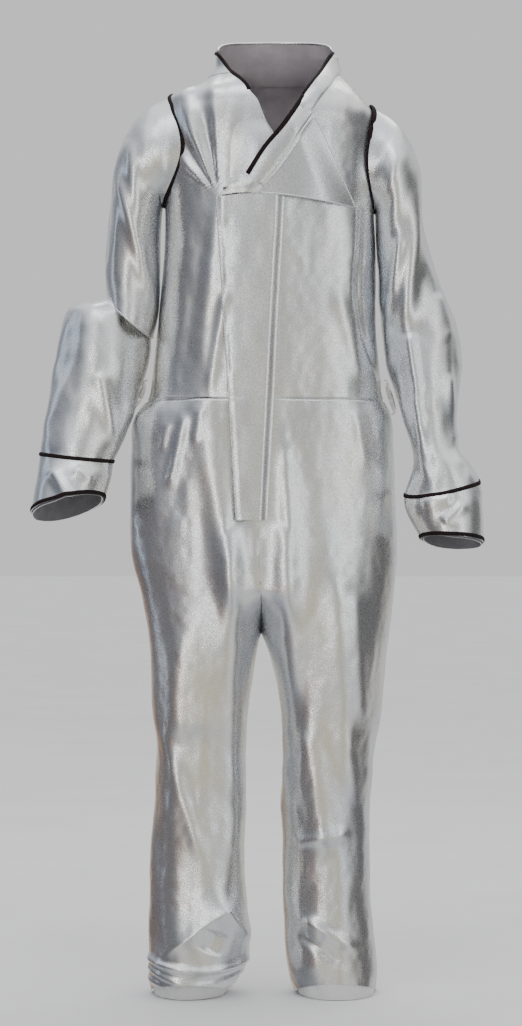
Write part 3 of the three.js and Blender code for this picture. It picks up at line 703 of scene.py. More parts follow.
# ---- Bindings ----
def binding(name, path, normals, half_width, half_height, material=None, closed=False):
    """A flattened strip swept along a path on the cloth. Its half width may change along the path."""
    half_width = np.broadcast_to(half_width, len(path))[:, None]
    if closed:
        ahead = np.roll(path, -1, axis=0) - np.roll(path, 1, axis=0)
    else:
        ahead = np.gradient(path, axis=0)
    ahead /= np.linalg.norm(ahead, axis=1, keepdims=True)
    beside = np.cross(ahead, normals)
    beside /= np.linalg.norm(beside, axis=1, keepdims=True)
    above = np.cross(beside, ahead)
    lines = []
    for turn in between(0, math.tau, 13)[:-1]:
        sideways = half_width * np.sign(math.cos(turn)) * abs(math.cos(turn)) ** 0.8
        lines.append(path + beside * sideways + above * half_height * math.sin(turn))
    grid = np.stack(lines, axis=1)
    count, sides = grid.shape[:2]
    vertices = grid.reshape(-1, 3)
    faces = []
    for i in range(count if closed else count - 1):
        for j in range(sides):
            k, n = (i + 1) % count, (j + 1) % sides
            faces.append([i * sides + j, i * sides + n, k * sides + n, k * sides + j])
    if not closed:
        faces.append(list(range(sides))[::-1])
        faces.append([(count - 1) * sides + j for j in range(sides)])
    return mesh_object(name, vertices, faces, [0] * len(faces), None, (material or BINDING,))


def on_front(x, z, standoff=0.0):
    """Points on the front cloth, folds and all, moved off it by a standoff."""
    points = np.stack([x, jacket_y(x, z, -1), z], axis=-1)
    step = 1e-4
    slope_x = (jacket_y(x + step, z, -1) - jacket_y(x - step, z, -1)) / (2 * step)
    slope_z = (jacket_y(x, z + step, -1) - jacket_y(x, z - step, -1)) / (2 * step)
    normals = np.stack([slope_x, -np.ones_like(slope_x), slope_z], axis=-1)
    normals /= np.linalg.norm(normals, axis=-1, keepdims=True)
    return points + normals * (jacket_folds(points) + standoff)[..., None], normals


def neck_bindings():
    right_z = between(0.014, COLLAR_CORNER - 0.001, 44)
    path, normals = on_front(neck_edge("right", right_z), right_z)
    piece = binding("right_neck_tape", path, normals, 0.0034, 0.0026)
    sew(piece, "dark_binding", ["right_neck_binding"], "suit_body")
    left_z = between(0.0045, COLLAR_CORNER - 0.001, 44)
    path, normals = on_front(neck_edge("left", left_z), left_z)
    left_width = 0.0040 - 0.0026 * ease(left_z, COLLAR_CORNER - 0.010, COLLAR_CORNER)
    piece = binding("left_neck_tape", path, normals, left_width, 0.0030)
    sew(piece, "dark_binding", ["left_neck_binding"], "suit_body")


# ---- Sleeves ----
# Rings of a sleeve: outer x and z, inner x and z, middle y, half depth, and how far the front is lifted.
# The right ones are measured from the shoulder, elbow and cuff as drawn on +X, then mirrored.
SLEEVE_RINGS = {
    "right": [
        (0.166, 0.019, 0.181, -0.177, 0.000, 0.084, 0.000),
        (0.206, -0.006, 0.186, -0.176, 0.000, 0.084, 0.000),
        (0.238, -0.040, 0.184, -0.180, 0.000, 0.082, 0.000),
        (0.261, -0.090, 0.185, -0.188, 0.000, 0.080, 0.000),
        (0.272, -0.145, 0.186, -0.205, 0.000, 0.078, 0.000),
        (0.281, -0.210, 0.187, -0.242, 0.000, 0.076, 0.000),
        (0.285, -0.275, 0.188, -0.300, 0.000, 0.075, 0.002),
        (0.283, -0.322, 0.192, -0.372, -0.001, 0.078, 0.000),
        (0.279, -0.344, 0.201, -0.408, -0.004, 0.081, -0.006),
        (0.270, -0.345, 0.204, -0.406, -0.003, 0.076, -0.004),
        (0.266, -0.328, 0.206, -0.388, -0.002, 0.073, 0.000),
        (0.262, -0.318, 0.210, -0.362, 0.000, 0.062, 0.000),
        (0.290, -0.344, 0.208, -0.376, -0.001, 0.067, 0.000),
        (0.337, -0.353, 0.206, -0.392, -0.004, 0.072, 0.000),
        (0.352, -0.372, 0.206, -0.415, -0.010, 0.074, 0.001),
        (0.359, -0.405, 0.208, -0.440, -0.018, 0.073, 0.002),
        (0.367, -0.455, 0.216, -0.480, -0.030, 0.071, 0.003),
        (0.379, -0.528, 0.234, -0.548, -0.047, 0.068, 0.003),
        (0.391, -0.592, 0.257, -0.604, -0.062, 0.065, 0.000),
        (0.393, -0.614, 0.267, -0.627, -0.066, 0.064, -0.002),
        (0.398, -0.655, 0.270, -0.657, -0.078, 0.064, 0.006),
        (0.408, -0.719, 0.280, -0.692, -0.090, 0.064, 0.018),
    ],
    "left": [
        (0.184, 0.000, 0.188, -0.188, 0.000, 0.080, 0.000),
        (0.222, -0.026, 0.187, -0.187, 0.000, 0.082, 0.000),
        (0.246, -0.056, 0.189, -0.190, 0.000, 0.082, 0.000),
        (0.262, -0.096, 0.190, -0.198, 0.000, 0.080, 0.000),
        (0.268, -0.145, 0.190, -0.213, 0.000, 0.078, 0.000),
        (0.275, -0.200, 0.191, -0.245, 0.000, 0.076, 0.000),
        (0.292, -0.265, 0.193, -0.295, 0.000, 0.075, 0.000),
        (0.317, -0.335, 0.194, -0.355, 0.000, 0.075, 0.002),
        (0.337, -0.392, 0.201, -0.405, -0.004, 0.074, 0.004),
        (0.344, -0.440, 0.208, -0.450, -0.014, 0.072, 0.004),
        (0.337, -0.500, 0.223, -0.502, -0.030, 0.066, 0.003),
        (0.328, -0.560, 0.237, -0.556, -0.046, 0.062, 0.002),
        (0.334, -0.604, 0.250, -0.596, -0.058, 0.060, 0.000),
        (0.352, -0.630, 0.255, -0.634, -0.068, 0.061, -0.003),
        (0.370, -0.661, 0.240, -0.686, -0.075, 0.063, -0.008),
        (0.373, -0.700, 0.243, -0.716, -0.084, 0.062, -0.002),
        (0.372, -0.769, 0.264, -0.762, -0.094, 0.060, 0.011),
    ],
}
CUFF_RING = 8  # the ring at a cuff's seam, counted from the top of the lower sleeve
OVERHANG = {"right": 11}  # the right upper sleeve is turned in at its mouth and hangs over the lower sleeve
RIM_RING = 8  # the ring where that mouth turns in
ELBOW_RING = 6  # the ring where the left sleeve's upper and lower pieces meet
ROWS_PER_RING = 13
COLUMNS_AROUND = 97  # points round a sleeve or leg; the last lies on the first
CUFF_LINING_ROWS = 16
SLEEVE_BEND = (0.183, -0.178)  # x and z under the arm, given to sew as a sleeve head's start


def sleeve_points(side, rings, station, angle):
    """Points on a sleeve: station counts its rings; angle 0 is outwards, and a quarter turn is the front."""
    table = [(i, *ring) for i, ring in enumerate(rings)]
    sign = SIDES[side]
    out_x, out_z, in_x, in_z, y, depth, lift = np.moveaxis(glide(table, station), -1, 0)
    half = np.stack([sign * (out_x - in_x) / 2, np.zeros_like(y), (out_z - in_z) / 2], axis=-1)
    centre = np.stack([sign * (out_x + in_x) / 2, y, (out_z + in_z) / 2], axis=-1)
    front = np.stack([np.zeros_like(y), -depth, lift], axis=-1)
    return centre + half * np.cos(angle)[..., None] + front * np.sin(angle)[..., None]


# Sharp folds of the sleeves' fronts: start, end, height and width.
SLEEVE_RIDGES = {
    "right": [
        ((-0.262, -0.120), (-0.196, -0.360), 0.0055, 0.010),
        ((-0.240, -0.060), (-0.215, -0.300), 0.0045, 0.012),
        ((-0.275, -0.330), (-0.205, -0.392), 0.0050, 0.009),
        ((-0.290, -0.470), (-0.262, -0.600), 0.0060, 0.012),
        ((-0.370, -0.440), (-0.385, -0.590), 0.0030, 0.009),
        ((-0.370, -0.640), (-0.330, -0.700), 0.0050, 0.010),
        ((-0.330, -0.640), (-0.295, -0.660), 0.0040, 0.010),
    ],
    "left": [
        ((0.268, -0.080), (0.243, -0.400), 0.0080, 0.013),
        ((0.232, -0.230), (0.212, -0.400), 0.0060, 0.010),
        ((0.246, -0.400), (0.262, -0.520), 0.0070, 0.010),
        ((0.258, -0.500), (0.274, -0.670), 0.0075, 0.009),
        ((0.300, -0.330), (0.325, -0.420), 0.0045, 0.012),
        ((0.318, -0.470), (0.326, -0.610), 0.0060, 0.009),
        ((0.262, -0.700), (0.320, -0.690), 0.0060, 0.012),
        ((0.300, -0.735), (0.340, -0.700), 0.0045, 0.010),
    ],
}


def sleeve_folds(side, points):
    """Long folds down the arm, ripples at the elbow and sharper folds in front."""
    seed = 20 if side == "right" else 40
    z = points[..., 2]
    elbow_z = joints[f"{side}_elbow"]["pos_m"][2]
    depth = 0.0040 * noise(points, (14, 14, 4.0), seed) + 0.0026 * noise(points, (26, 26, 9), seed + 1)
    depth += 0.0009 * noise(points, (60, 60, 34), seed + 2)
    depth += 0.0030 * wave(z, elbow_z, 0.07) * noise(points, (9, 9, 30), seed + 4)
    return depth + ease(-points[..., 1], -0.02, 0.04) * ridges(points, SLEEVE_RIDGES[side])


def sleeve_surface(side, rings, at_armhole, hangs_over=False):
    """Part of a sleeve with its folds: its points and their normals, row by row.
    Where it hangs over, its last rings are turned in, and stay without folds."""
    rows = (len(rings) - 1) * ROWS_PER_RING + 1
    station = between(0, len(rings) - 1, rows)[:, None] * np.ones(COLUMNS_AROUND)
    angle = np.ones((rows, 1)) * between(0, math.tau, COLUMNS_AROUND)
    grid = sleeve_points(side, rings, station, angle)
    settle = np.ones_like(station)
    if at_armhole:
        edge = armhole_point(side, angle[:1])
        grid = grid + (edge - grid[:1]) * (1 - ease(station, 0, 2.5))[..., None]
        settle = ease(station, 0, 1.2)
    if hangs_over:
        settle = settle * (1 - ease(station, len(rings) - 5.0, len(rings) - 3.6))
    outward = grid - grid.mean(axis=1, keepdims=True)
    normals = grid_normals(grid, outward, closed=True)
    depth = sleeve_folds(side, grid) * settle
    depth[:, -1] = depth[:, 0]
    grid = grid + normals * depth[..., None]
    return grid, grid_normals(grid, outward, closed=True)


def sleeve(side):
    rings = SLEEVE_RINGS[side]
    break_ring = OVERHANG.get(side)
    if break_ring:
        upper = sleeve_surface(side, rings[:break_ring], at_armhole=True, hangs_over=True)
        lower = sleeve_surface(side, rings[break_ring:], at_armhole=False)
    else:
        grid, normals = sleeve_surface(side, rings, at_armhole=True)
        meeting = ELBOW_RING * ROWS_PER_RING
        upper = grid[: meeting + 1], normals[: meeting + 1]
        lower = grid[meeting:], normals[meeting:]
    seam = CUFF_RING * ROWS_PER_RING
    elbow = Vector(joints[f"{side}_elbow"]["pos_m"])
    sign = SIDES[side]

    if break_ring:
        grid, normals = upper
        rim = RIM_RING * ROWS_PER_RING
        path, outwards = grid[rim, :-1], normals[rim, :-1]
        piece = binding(f"{side}_sleeve_rim", path, outwards, 0.0018, 0.0018, SILVER, closed=True)
        sew(piece, "silver_cloth", [], f"{side}_upper_sleeve")
    piece = cloth(f"{side}_sleeve_head", *upper, SILVER_SHEET, closed=True)
    start = Vector((sign * SLEEVE_BEND[0], 0, SLEEVE_BEND[1]))
    end = start + Vector((sign * 0.040, 0, -0.050))
    sew(piece, "silver_cloth", [f"{side}_upper_sleeve"], "suit_body", f"{side}_upper_sleeve", start, end)

    grid, normals = lower
    piece = cloth(f"{side}_sleeve_arm", grid[: seam + 1], normals[: seam + 1], SILVER_SHEET, closed=True)
    cuff_low, cuff_high = (Vector(corner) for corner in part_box(f"{side}_cuff_lining"))
    down = ((cuff_low + cuff_high) / 2 - elbow).normalized()
    sew(piece, "silver_cloth", [f"{side}_lower_sleeve"], f"{side}_upper_sleeve", f"{side}_lower_sleeve",
        elbow - down * 0.055, elbow + down * 0.075)

    body = f"{side}_lower_sleeve"
    piece = cloth(f"{side}_cuff_cloth", grid[seam:], normals[seam:], SILVER_SHEET, closed=True)
    sew(piece, "silver_cloth", [f"{side}_cuff"], body)
    for word, node, row in (("seam", "cuff_seam_tape", seam), ("hem", "cuff_edge_tape", len(grid) - 2)):
        piece = binding(f"{side}_cuff_{word}", grid[row, :-1], normals[row, :-1], 0.0036, 0.0020, closed=True)
        sew(piece, "dark_binding", [f"{side}_{node}"], body)

    inside = slice(len(grid) - CUFF_LINING_ROWS, len(grid))
    lining = grid[inside] - normals[inside] * 0.0030
    beyond = lining[-1] + (lining[-1] - lining[-3]) * 0.30
    lining = np.concatenate([lining, beyond[None]])
    facing_out = np.concatenate([normals[inside], normals[-1:]])
    # Inside the cuff the lining is drawn in its darker copy, which paints the shade in the cuff's mouth.
    piece = cloth(f"{side}_cuff_inside", lining, facing_out, (SHADED_CUFF_LINING, SHADED_CUFF_LINING, FACING), closed=True)
    sew(piece, "grey_lining", [f"{side}_cuff_lining"], body)

    armhole_tape(side)


def armhole_tape(side):
    """The dark tape round an armhole. The front of the left one is nearly hidden in the seam's fold."""
    turn = between(0, math.tau, 193)[:-1]
    path = armhole_point(side, turn)
    outward = path - path.mean(axis=0)
    outward[:, 0] += SIDES[side] * 0.05
    half_width = 0.0040
    if side == "left":
        z = path[:, 2]
        patch = ease(z, -0.068, -0.064) * (1 - ease(z, -0.046, -0.042))
        shown = np.where(np.sin(turn) > 0, np.maximum(ease(z, -0.036, -0.032), patch), 1)
        half_width = 0.0013 + 0.0027 * shown
    piece = binding(f"{side}_armhole_binding", path, outward, half_width, 0.0022, closed=True)
    sew(piece, "dark_binding", [f"{side}_armhole_tape"], "suit_body")


# ---- Trouser legs ----
# height, outer x, inner x, front depth, back depth, as drawn on +X
LEG_RINGS = {
    "right": [
        (HEM, 0.203, 0.068, 0.080, 0.084),
        (-1.535, 0.206, 0.052, 0.084, 0.084),
        (-1.500, 0.206, 0.036, 0.086, 0.084),
        (-1.460, 0.205, 0.032, 0.086, 0.084),
        (-1.400, 0.203, 0.037, 0.084, 0.084),
        (-1.267, 0.199, 0.038, 0.086, 0.086),
        (-1.110, 0.197, 0.036, 0.094, 0.092),
        (-1.023, 0.203, 0.026, 0.102, 0.100),
        (-0.975, 0.204, 0.017, 0.107, 0.107),
        (-0.937, 0.206, 0.0100, 0.111, 0.113),
        (-0.875, 0.216, 0.0095, 0.115, 0.119),
        (-0.780, 0.238, 0.0095, 0.118, 0.126),
    ],
    "left": [
        (HEM, 0.194, 0.052, 0.082, 0.084),
        (-1.535, 0.196, 0.044, 0.083, 0.084),
        (-1.478, 0.194, 0.034, 0.084, 0.084),
        (-1.400, 0.188, 0.030, 0.084, 0.084),
        (-1.267, 0.184, 0.027, 0.086, 0.086),
        (-1.110, 0.194, 0.023, 0.094, 0.092),
        (-1.023, 0.204, 0.016, 0.102, 0.100),
        (-0.975, 0.209, 0.004, 0.107, 0.107),
        (-0.937, 0.214, -0.0085, 0.111, 0.113),
        (-0.875, 0.221, -0.0095, 0.115, 0.119),
        (-0.780, 0.228, -0.0095, 0.118, 0.126),
    ],
}


LEG_COLUMNS = 76
KNEE_BEND = Vector((0, 0, 0.085))  # how far above and below the knee the points given to sew lie


def leg_border(side, facing, z):
    """The x of a trouser panel's outer and inner edges. Only the fronts leave room for the zip."""
    sign = SIDES[side]
    outer, inner, *_ = np.moveaxis(glide(LEG_RINGS[side], z), -1, 0)
    middle, half, *_ = jacket_section(z)
    leg = 1 - ease(z, -0.860, -0.780)
    outer_x = (middle + sign * half) * (1 - leg) + sign * outer * leg
    room = ease(z, ZIP_BOTTOM - 0.02, ZIP_BOTTOM) if facing < 0 else 0
    slot = 0.0004 + (ZIP_SLOT - 0.0004) * room
    seam_x = FORK_X + (ZIP_X - FORK_X) * ease(z, -0.90, ZIP_BOTTOM)
    fork = 1 - ease(z, FORK, FORK + 0.03)
    return outer_x, (seam_x + sign * slot) * (1 - fork) + sign * inner * fork


def leg_grid(side, facing, heights, columns):
    """Points on a trouser panel: the jacket's shape at the waist, turning into a leg's round the fork.
    The two shapes meet over a short height at the inner seam, and a longer one at the outer side."""
    sign = SIDES[side]
    outer_x, inner_x = leg_border(side, facing, heights)
    share = (1 - np.cos(between(0, math.pi, columns))) / 2
    x = outer_x[:, None] + (inner_x - outer_x)[:, None] * share
    z = heights[:, None] * np.ones(columns)
    outer, inner, front, back = np.moveaxis(glide(LEG_RINGS[side], z), -1, 0)
    depth = front if facing < 0 else back
    middle, half = sign * (outer + inner) / 2, (outer - inner) / 2
    leg_y = facing * depth * superellipse((x - middle) / half, 2.15)
    body_middle, body_half, *_ = jacket_section(heights)
    stretch = (body_middle + sign * body_half) / outer_x
    body_y = jacket_y(x * stretch[:, None], z, facing)
    outwards = ease(1 - share, 0.10, 0.60)
    leg = 1 - ease(z, FORK + 0.005 - 0.10 * outwards, FORK_TOP + 0.09 * outwards)
    return np.stack([x, body_y * (1 - leg) + leg_y * leg, z], axis=-1)


def trouser_panels(side):
    heights = np.concatenate([
        panel_heights(WAIST - WAIST_ZONE, WAIST - 0.0002, WAIST_STEP)[:-1],
        panel_heights(FOOT_ZONE, WAIST - WAIST_ZONE, 0.0055)[:-1],
        panel_heights(HEM + 0.004, FOOT_ZONE, 0.0030),
    ])
    split_row = int(np.argmin(np.abs(heights - THIGH_SPLIT)))
    hip, knee = (Vector(joints[f"{side}_{name}"]["pos_m"]) for name in ("hip", "knee"))
    for facing, word, hip_node in ((-1, "front", "trouser_front"), (1, "back", "seat_panel")):
        grid = leg_grid(side, facing, heights, LEG_COLUMNS)
        if facing < 0:
            low_down = 1 - ease(heights, HEM, HEM + 0.09)[:, None]
            grid[..., 2] += 0.024 * low_down * np.sin(between(0, math.pi, LEG_COLUMNS))
        grid, normals = folded(grid, (0, facing, 0), jacket_folds, leg_folds)
        top = slice(0, split_row + 1)
        piece = cloth(f"{side}_trouser_{word}_top", grid[top], normals[top], SILVER_SHEET)
        stands_for = [f"{side}_{hip_node}", f"{side}_thigh_{word}"]
        sew(piece, "silver_cloth", stands_for, "suit_body", f"{side}_thigh",
            Vector((hip.x, 0, hip.z + 0.035)), Vector((hip.x, 0, THIGH_SPLIT + 0.01)))
        low = slice(split_row, len(heights))
        piece = cloth(f"{side}_trouser_{word}_leg", grid[low], normals[low], SILVER_SHEET)
        sew(piece, "silver_cloth", [f"{side}_shin_{word}"], f"{side}_thigh", f"{side}_shin",
            knee + KNEE_BEND, knee - KNEE_BEND)


def hem_facing(side):
    """The pale band inside a trouser hem, a little longer than the cloth in front of it."""
    turn = between(0, math.tau, COLUMNS_AROUND)
    sign = SIDES[side]
    z = between(HEM + 0.050, HEM, 14)[:, None] * np.ones(COLUMNS_AROUND)
    outer, inner, front, back = np.moveaxis(glide(LEG_RINGS[side], z), -1, 0)
    inset = 0.0045
    depth = np.where(np.sin(turn) > 0, front, back) - inset
    x = sign * ((outer + inner) / 2 + ((outer - inner) / 2 - inset) * np.cos(turn))
    y = -depth * np.sin(turn)
    grid = np.stack([x, y, z], axis=-1)
    outward = grid - grid.mean(axis=1, keepdims=True)
    normals = grid_normals(grid, outward, closed=True)
    grid = grid + normals * (0.0012 * noise(grid, (30, 30, 12), 61))[..., None]
    grid[:, -1] = grid[:, 0]
    normals = grid_normals(grid, outward, closed=True)
    piece = cloth(f"{side}_hem_inside", grid, normals, (FACING,) * 3, closed=True)
    sew(piece, "white_facing", [f"{side}_hem_facing"], f"{side}_shin")


def crotch_tape():
    """The seam tape at the bottom of the groove between the legs, from the front round under to the back."""
    falling = between(FORK_TOP + 0.005, FORK + 0.004, 40)
    edges = []
    for facing, heights in ((-1, falling), (1, falling[::-1][1:])):
        leg = 1 - ease(heights, FORK + 0.005, FORK_TOP)
        edges.append(np.stack([jacket_y(FORK_X, heights, facing) * (1 - leg), heights], axis=-1))
    path = np.concatenate(edges)
    offsets = FORK_X + np.array([-0.005, -0.0025, 0.0, 0.0025, 0.005])
    x = np.ones((len(path), 1)) * offsets
    grid = np.stack([x, path[:, :1] * np.ones(5), path[:, 1:] * np.ones(5)], axis=-1)
    normals = grid_normals(grid, (0, 0, -1))
    grid = grid - normals * 0.0006
    sew(cloth("crotch_seam", grid, normals, SILVER_SHEET), "silver_cloth", ["crotch_gusset"], "suit_body")


# ---- Front strips and flaps ----
def front_patch(name, corners, standoff, thickness, materials, rows, columns):
    """A sheet on the front, given its corners' x and z: top left, top right, bottom right, bottom left."""
    across, down = between(0, 1, columns)[None, :, None], between(0, 1, rows)[:, None, None]
    top_left, top_right, bottom_right, bottom_left = np.array(corners)
    top, bottom = towards(top_left, top_right, across), towards(bottom_left, bottom_right, across)
    flat = top * (1 - down) + bottom * down
    grid, normals = on_front(flat[..., 0], flat[..., 1], standoff)
    return cloth(name, grid, normals, materials, thickness)


def zip_tapes():
    for side in SIDES:
        low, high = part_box(f"zip_tape_{side}")
        corners = [(low[0], high[2]), (high[0], high[2]), (high[0], low[2]), (low[0], low[2])]
        piece = front_patch(f"zip_cloth_{side}", corners, LAYERS["zip_tape"], 0.0009, (ZIP_TAPE,) * 3, 160, 6)
        sew(piece, "zip_tape", [f"zip_tape_{side}"], "suit_body")


def inner_fly():
    low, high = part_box("inner_fly")
    corners = [(-0.046, 0.010), (0.016, -0.070), (high[0], low[2]), (low[0], low[2])]
    piece = front_patch("fly_facing", corners, LAYERS["fly"], 0.0012, (FACING,) * 3, 150, 12)
    sew(piece, "white_facing", ["inner_fly"], "suit_body")


# The zip guard: its top, height and right edge, and its other edge as z and x.
GUARD_TOP, GUARD_HEIGHT, GUARD_RIGHT = -0.030, 0.110, -0.072
GUARD_EDGE = [(-0.140, 0.000), (-0.100, 0.006), (-0.070, 0.0085), (-0.045, -0.0025), (-0.030, -0.0090)]


def zip_garage():
    """A small guard on the right front, which covers the slider when the zip is closed."""
    rows, columns = 44, 30
    across, down = between(0, 1, columns)[None, :], between(0, 1, rows)[:, None]
    z = GUARD_TOP - GUARD_HEIGHT * down * np.ones((1, columns))
    x = towards(GUARD_RIGHT, glide(GUARD_EDGE, z[:, 0]), across)
    grid, normals = on_front(x, z, 0.0)
    rise = ease(across, 0, 0.75) * ease(down, 0, 0.55)
    grid = grid + normals * (-0.0006 + 0.0080 * rise)[..., None]
    normals = grid_normals(grid, (0, -1, 0))
    sew(cloth("zip_garage", grid, normals, SILVER_SHEET, thickness=0.0010), "silver_cloth", [], "suit_body")


HINGE_ZONE = 0.016  # width of the zone beside a flap's seam

# The storm flap: the x of its free and sewn edges at its top and bottom, and its top edge as x and z.
STORM_TOP, STORM_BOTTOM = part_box("storm_flap")[1][2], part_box("storm_flap")[0][2]
STORM_FREE = (-0.084, -0.052)
STORM_SEWN = (0.030, 0.002)
STORM_HEAD = [(-0.084, -0.1750), (-0.045, -0.1695), (-0.010, -0.1690), (0.035, -0.1725)]


def soft_hinge(name):
    """The narrow zone beside a flap's seam: from the seam inwards, towards -X."""
    place, axis = Vector(joints[name]["pos_m"]), Vector(joints[name]["axis"]).normalized()
    inwards = axis.cross(Vector((0, 1, 0))).normalized()
    if inwards.x > 0:
        inwards = -inwards
    return place, place + inwards * HINGE_ZONE


def storm_flap():
    rows, columns = 180, 60
    across, down = between(0, 1, columns)[None, :], between(0, 1, rows)[:, None]
    free, sewn = towards(*STORM_FREE, down), towards(*STORM_SEWN, down)
    x = towards(free, sewn, across)
    top = glide(STORM_HEAD, towards(STORM_FREE[0], STORM_SEWN[0], across))[..., 0]
    z = towards(top, STORM_BOTTOM, down)
    from_seam, from_edge = (1 - across) * (sewn - free), across * (sewn - free)
    standoff = 0.0024 + 0.0074 * ease(from_seam, 0, HINGE_ZONE) - 0.0012 * ease(-from_edge, -0.010, 0)
    grid, normals = on_front(x, z, 0.0)
    grid = grid + normals * standoff[..., None]
    ripple = 0.0011 * noise(grid, (14, 14, 5), 71) + 0.0006 * noise(grid, (40, 40, 22), 72)
    grid = grid + normals * (ripple * ease(1 - across, 0, 0.15))[..., None]
    normals = grid_normals(grid, (0, -1, 0))
    hem = binding("storm_hem", grid[:, 0] - normals[:, 0] * 0.0008, normals[:, 0], 0.0016, 0.0016, SILVER)
    sew(hem, "silver_cloth", [], "storm_flap")
    piece = cloth("storm_flap_cloth", grid, normals, SILVER_SHEET, thickness=0.0020)
    sew(piece, "silver_cloth", ["storm_flap"], "suit_body", "storm_flap", *soft_hinge("storm_flap_hinge"))


def hook_and_loop():
    """Matching strips under the storm flap and patches under the throat flap."""
    def strip(start, stop, top, bottom):
        height = STORM_TOP - STORM_BOTTOM
        upper, lower = (towards(*STORM_FREE, (STORM_TOP - z) / height) for z in (top, bottom))
        return [(upper + start, top), (upper + stop, top), (lower + stop, bottom), (lower + start, bottom)]

    outlines = {
        "storm": (strip(0.004, 0.020, STORM_TOP - 0.010, STORM_BOTTOM + 0.012), "strip", 120, 5),
        "throat": ([(-0.054, -0.150), (-0.074, -0.158), (-0.072, -0.168), (-0.050, -0.168)], "patch", 8, 8),
    }
    for flap, (outline, shape, rows, columns) in outlines.items():
        for half, body in (("loop", "suit_body"), ("hook", f"{flap}_flap")):
            name = f"{flap}_{half}"
            piece = front_patch(f"{name}_pile", outline, LAYERS[half], 0.0012, (PILE,) * 3, rows, columns)
            sew(piece, "hook_and_loop", [f"{name}_{shape}"], body)


# Lines of the throat flap from its hinge to its free end: share, x, z.
LAPEL_EDGE = [(0.0, 0.063, 0.002), (0.35, 0.028, -0.050), (0.65, -0.003, -0.087), (1.0, -0.034, -0.135)]
LAPEL_SEAM = [(0.0, 0.081, -0.033), (0.35, 0.048, -0.082), (0.65, 0.022, -0.118), (1.0, -0.008, -0.153)]
THROAT_HEM = [(0.0, 0.153, -0.189), (0.35, 0.085, -0.178), (0.65, 0.035, -0.171), (1.0, -0.010, -0.1675)]
FLAP_COLUMNS = 70


def throat_sheet(upper, lower, start, stop, rows, standoff):
    """A sheet between two lines of the throat flap: on the hinge at its first column, then on the chest."""
    reach = between(0, 1, FLAP_COLUMNS)
    top, bottom = glide(upper, reach)[None], glide(lower, reach)[None]
    share = between(start, stop, rows)[:, None, None]
    flat = towards(top, bottom, share)
    x, z = flat[..., 0], flat[..., 1]
    settle = ease(reach[None] * np.ones_like(x), 0, 0.30)
    y = jacket_y(x, z, -1) - 0.0022 - (standoff - 0.0022) * settle
    return np.stack([x, y, z], axis=-1)


def throat_flap():
    hinge = soft_hinge("throat_flap_hinge")
    grid = throat_sheet(LAPEL_SEAM, THROAT_HEM, 0.0, 1.0, 50, 0.0105)
    grid[..., 1] -= 0.0020 * noise(grid, (12, 12, 9), 81) * ease(between(0, 1, FLAP_COLUMNS), 0, 0.3)
    normals = grid_normals(grid, (0, -1, 0))
    piece = cloth("throat_flap_cloth", grid, normals, SILVER_SHEET, thickness=0.0020)
    sew(piece, "silver_cloth", ["throat_flap"], "suit_body", "throat_flap", *hinge)

    hem = binding("throat_hem", grid[-1] - normals[-1] * 0.0008, normals[-1], 0.0016, 0.0016, SILVER)
    sew(hem, "silver_cloth", [], "suit_body", "throat_flap", *hinge)
    (_, *seam_top), (_, *seam_bottom) = LAPEL_SEAM[0], THROAT_HEM[0]
    seam_line = towards(np.array(seam_top), np.array(seam_bottom), between(0, 1, 60)[:, None])
    path, facing_out = on_front(seam_line[:, 0], seam_line[:, 1], 0.0014)
    seam = binding("throat_seam", path, facing_out, 0.0015, 0.0016, SILVER)
    sew(seam, "silver_cloth", [], "suit_body")

    rows = 60
    grid = throat_sheet(LAPEL_EDGE, LAPEL_SEAM, 0.06, 1.10, rows, 0.0130)
    bulge = np.sin(between(0, math.pi, rows))[:, None] ** 0.7
    stitching = wave(between(0, 1, rows), 0.80, 0.035)[:, None]
    grid[..., 1] -= 0.0026 * bulge + 0.0012 * noise(grid, (30, 30, 30), 82) - 0.0009 * stitching
    forwards = np.tile((0.0, -1.0, 0.0), (FLAP_COLUMNS, 1))
    edge = binding("lapel_hem", grid[-1] - 0.0008 * forwards, forwards, 0.0012, 0.0012, SILVER)
    sew(edge, "silver_cloth", [], "suit_body", "throat_flap", *hinge)
    normals = grid_normals(grid, (0, -1, 0))
    piece = cloth("lapel_cloth", grid, normals, SILVER_SHEET, thickness=0.0016)
    sew(piece, "silver_cloth", ["lapel_band"], "suit_body", "throat_flap", *hinge)

    path = throat_sheet(LAPEL_EDGE, LAPEL_SEAM, 0.02, 0.03, 2, 0.0135)[0]
    piece = binding("lapel_tape", path, forwards, 0.0040, 0.0026)
    sew(piece, "dark_binding", ["lapel_binding"], "suit_body", "throat_flap", *hinge)
    lapel_corner()


def lapel_corner():
    """The lapel's lower end, turned up and crumpled."""
    upper = [(0.0, -0.006, -0.152), (0.5, -0.024, -0.139), (1.0, -0.046, -0.137)]
    lower = [(0.0, -0.008, -0.1685), (0.5, -0.050, -0.1675), (1.0, -0.084, -0.1725)]
    reach, share = between(0, 1, 40), between(0, 1, 20)[:, None, None]
    flat = glide(upper, reach)[None] * (1 - share) + glide(lower, reach)[None] * share
    x, z = flat[..., 0], flat[..., 1]
    place = np.stack([x, z, z], axis=-1)
    free = ease(reach[None], 0, 0.35)
    lift = 0.0085 + 0.0050 * free + 0.0030 * free * (noise(place, 48, 83) + 1 - reach[None])
    grid = np.stack([x, jacket_y(x, z, -1) - lift, z], axis=-1)
    normals = grid_normals(grid, (0, -1, 0))
    sew(cloth("lapel_corner", grid, normals, SILVER_SHEET), "silver_cloth", [], "throat_flap")


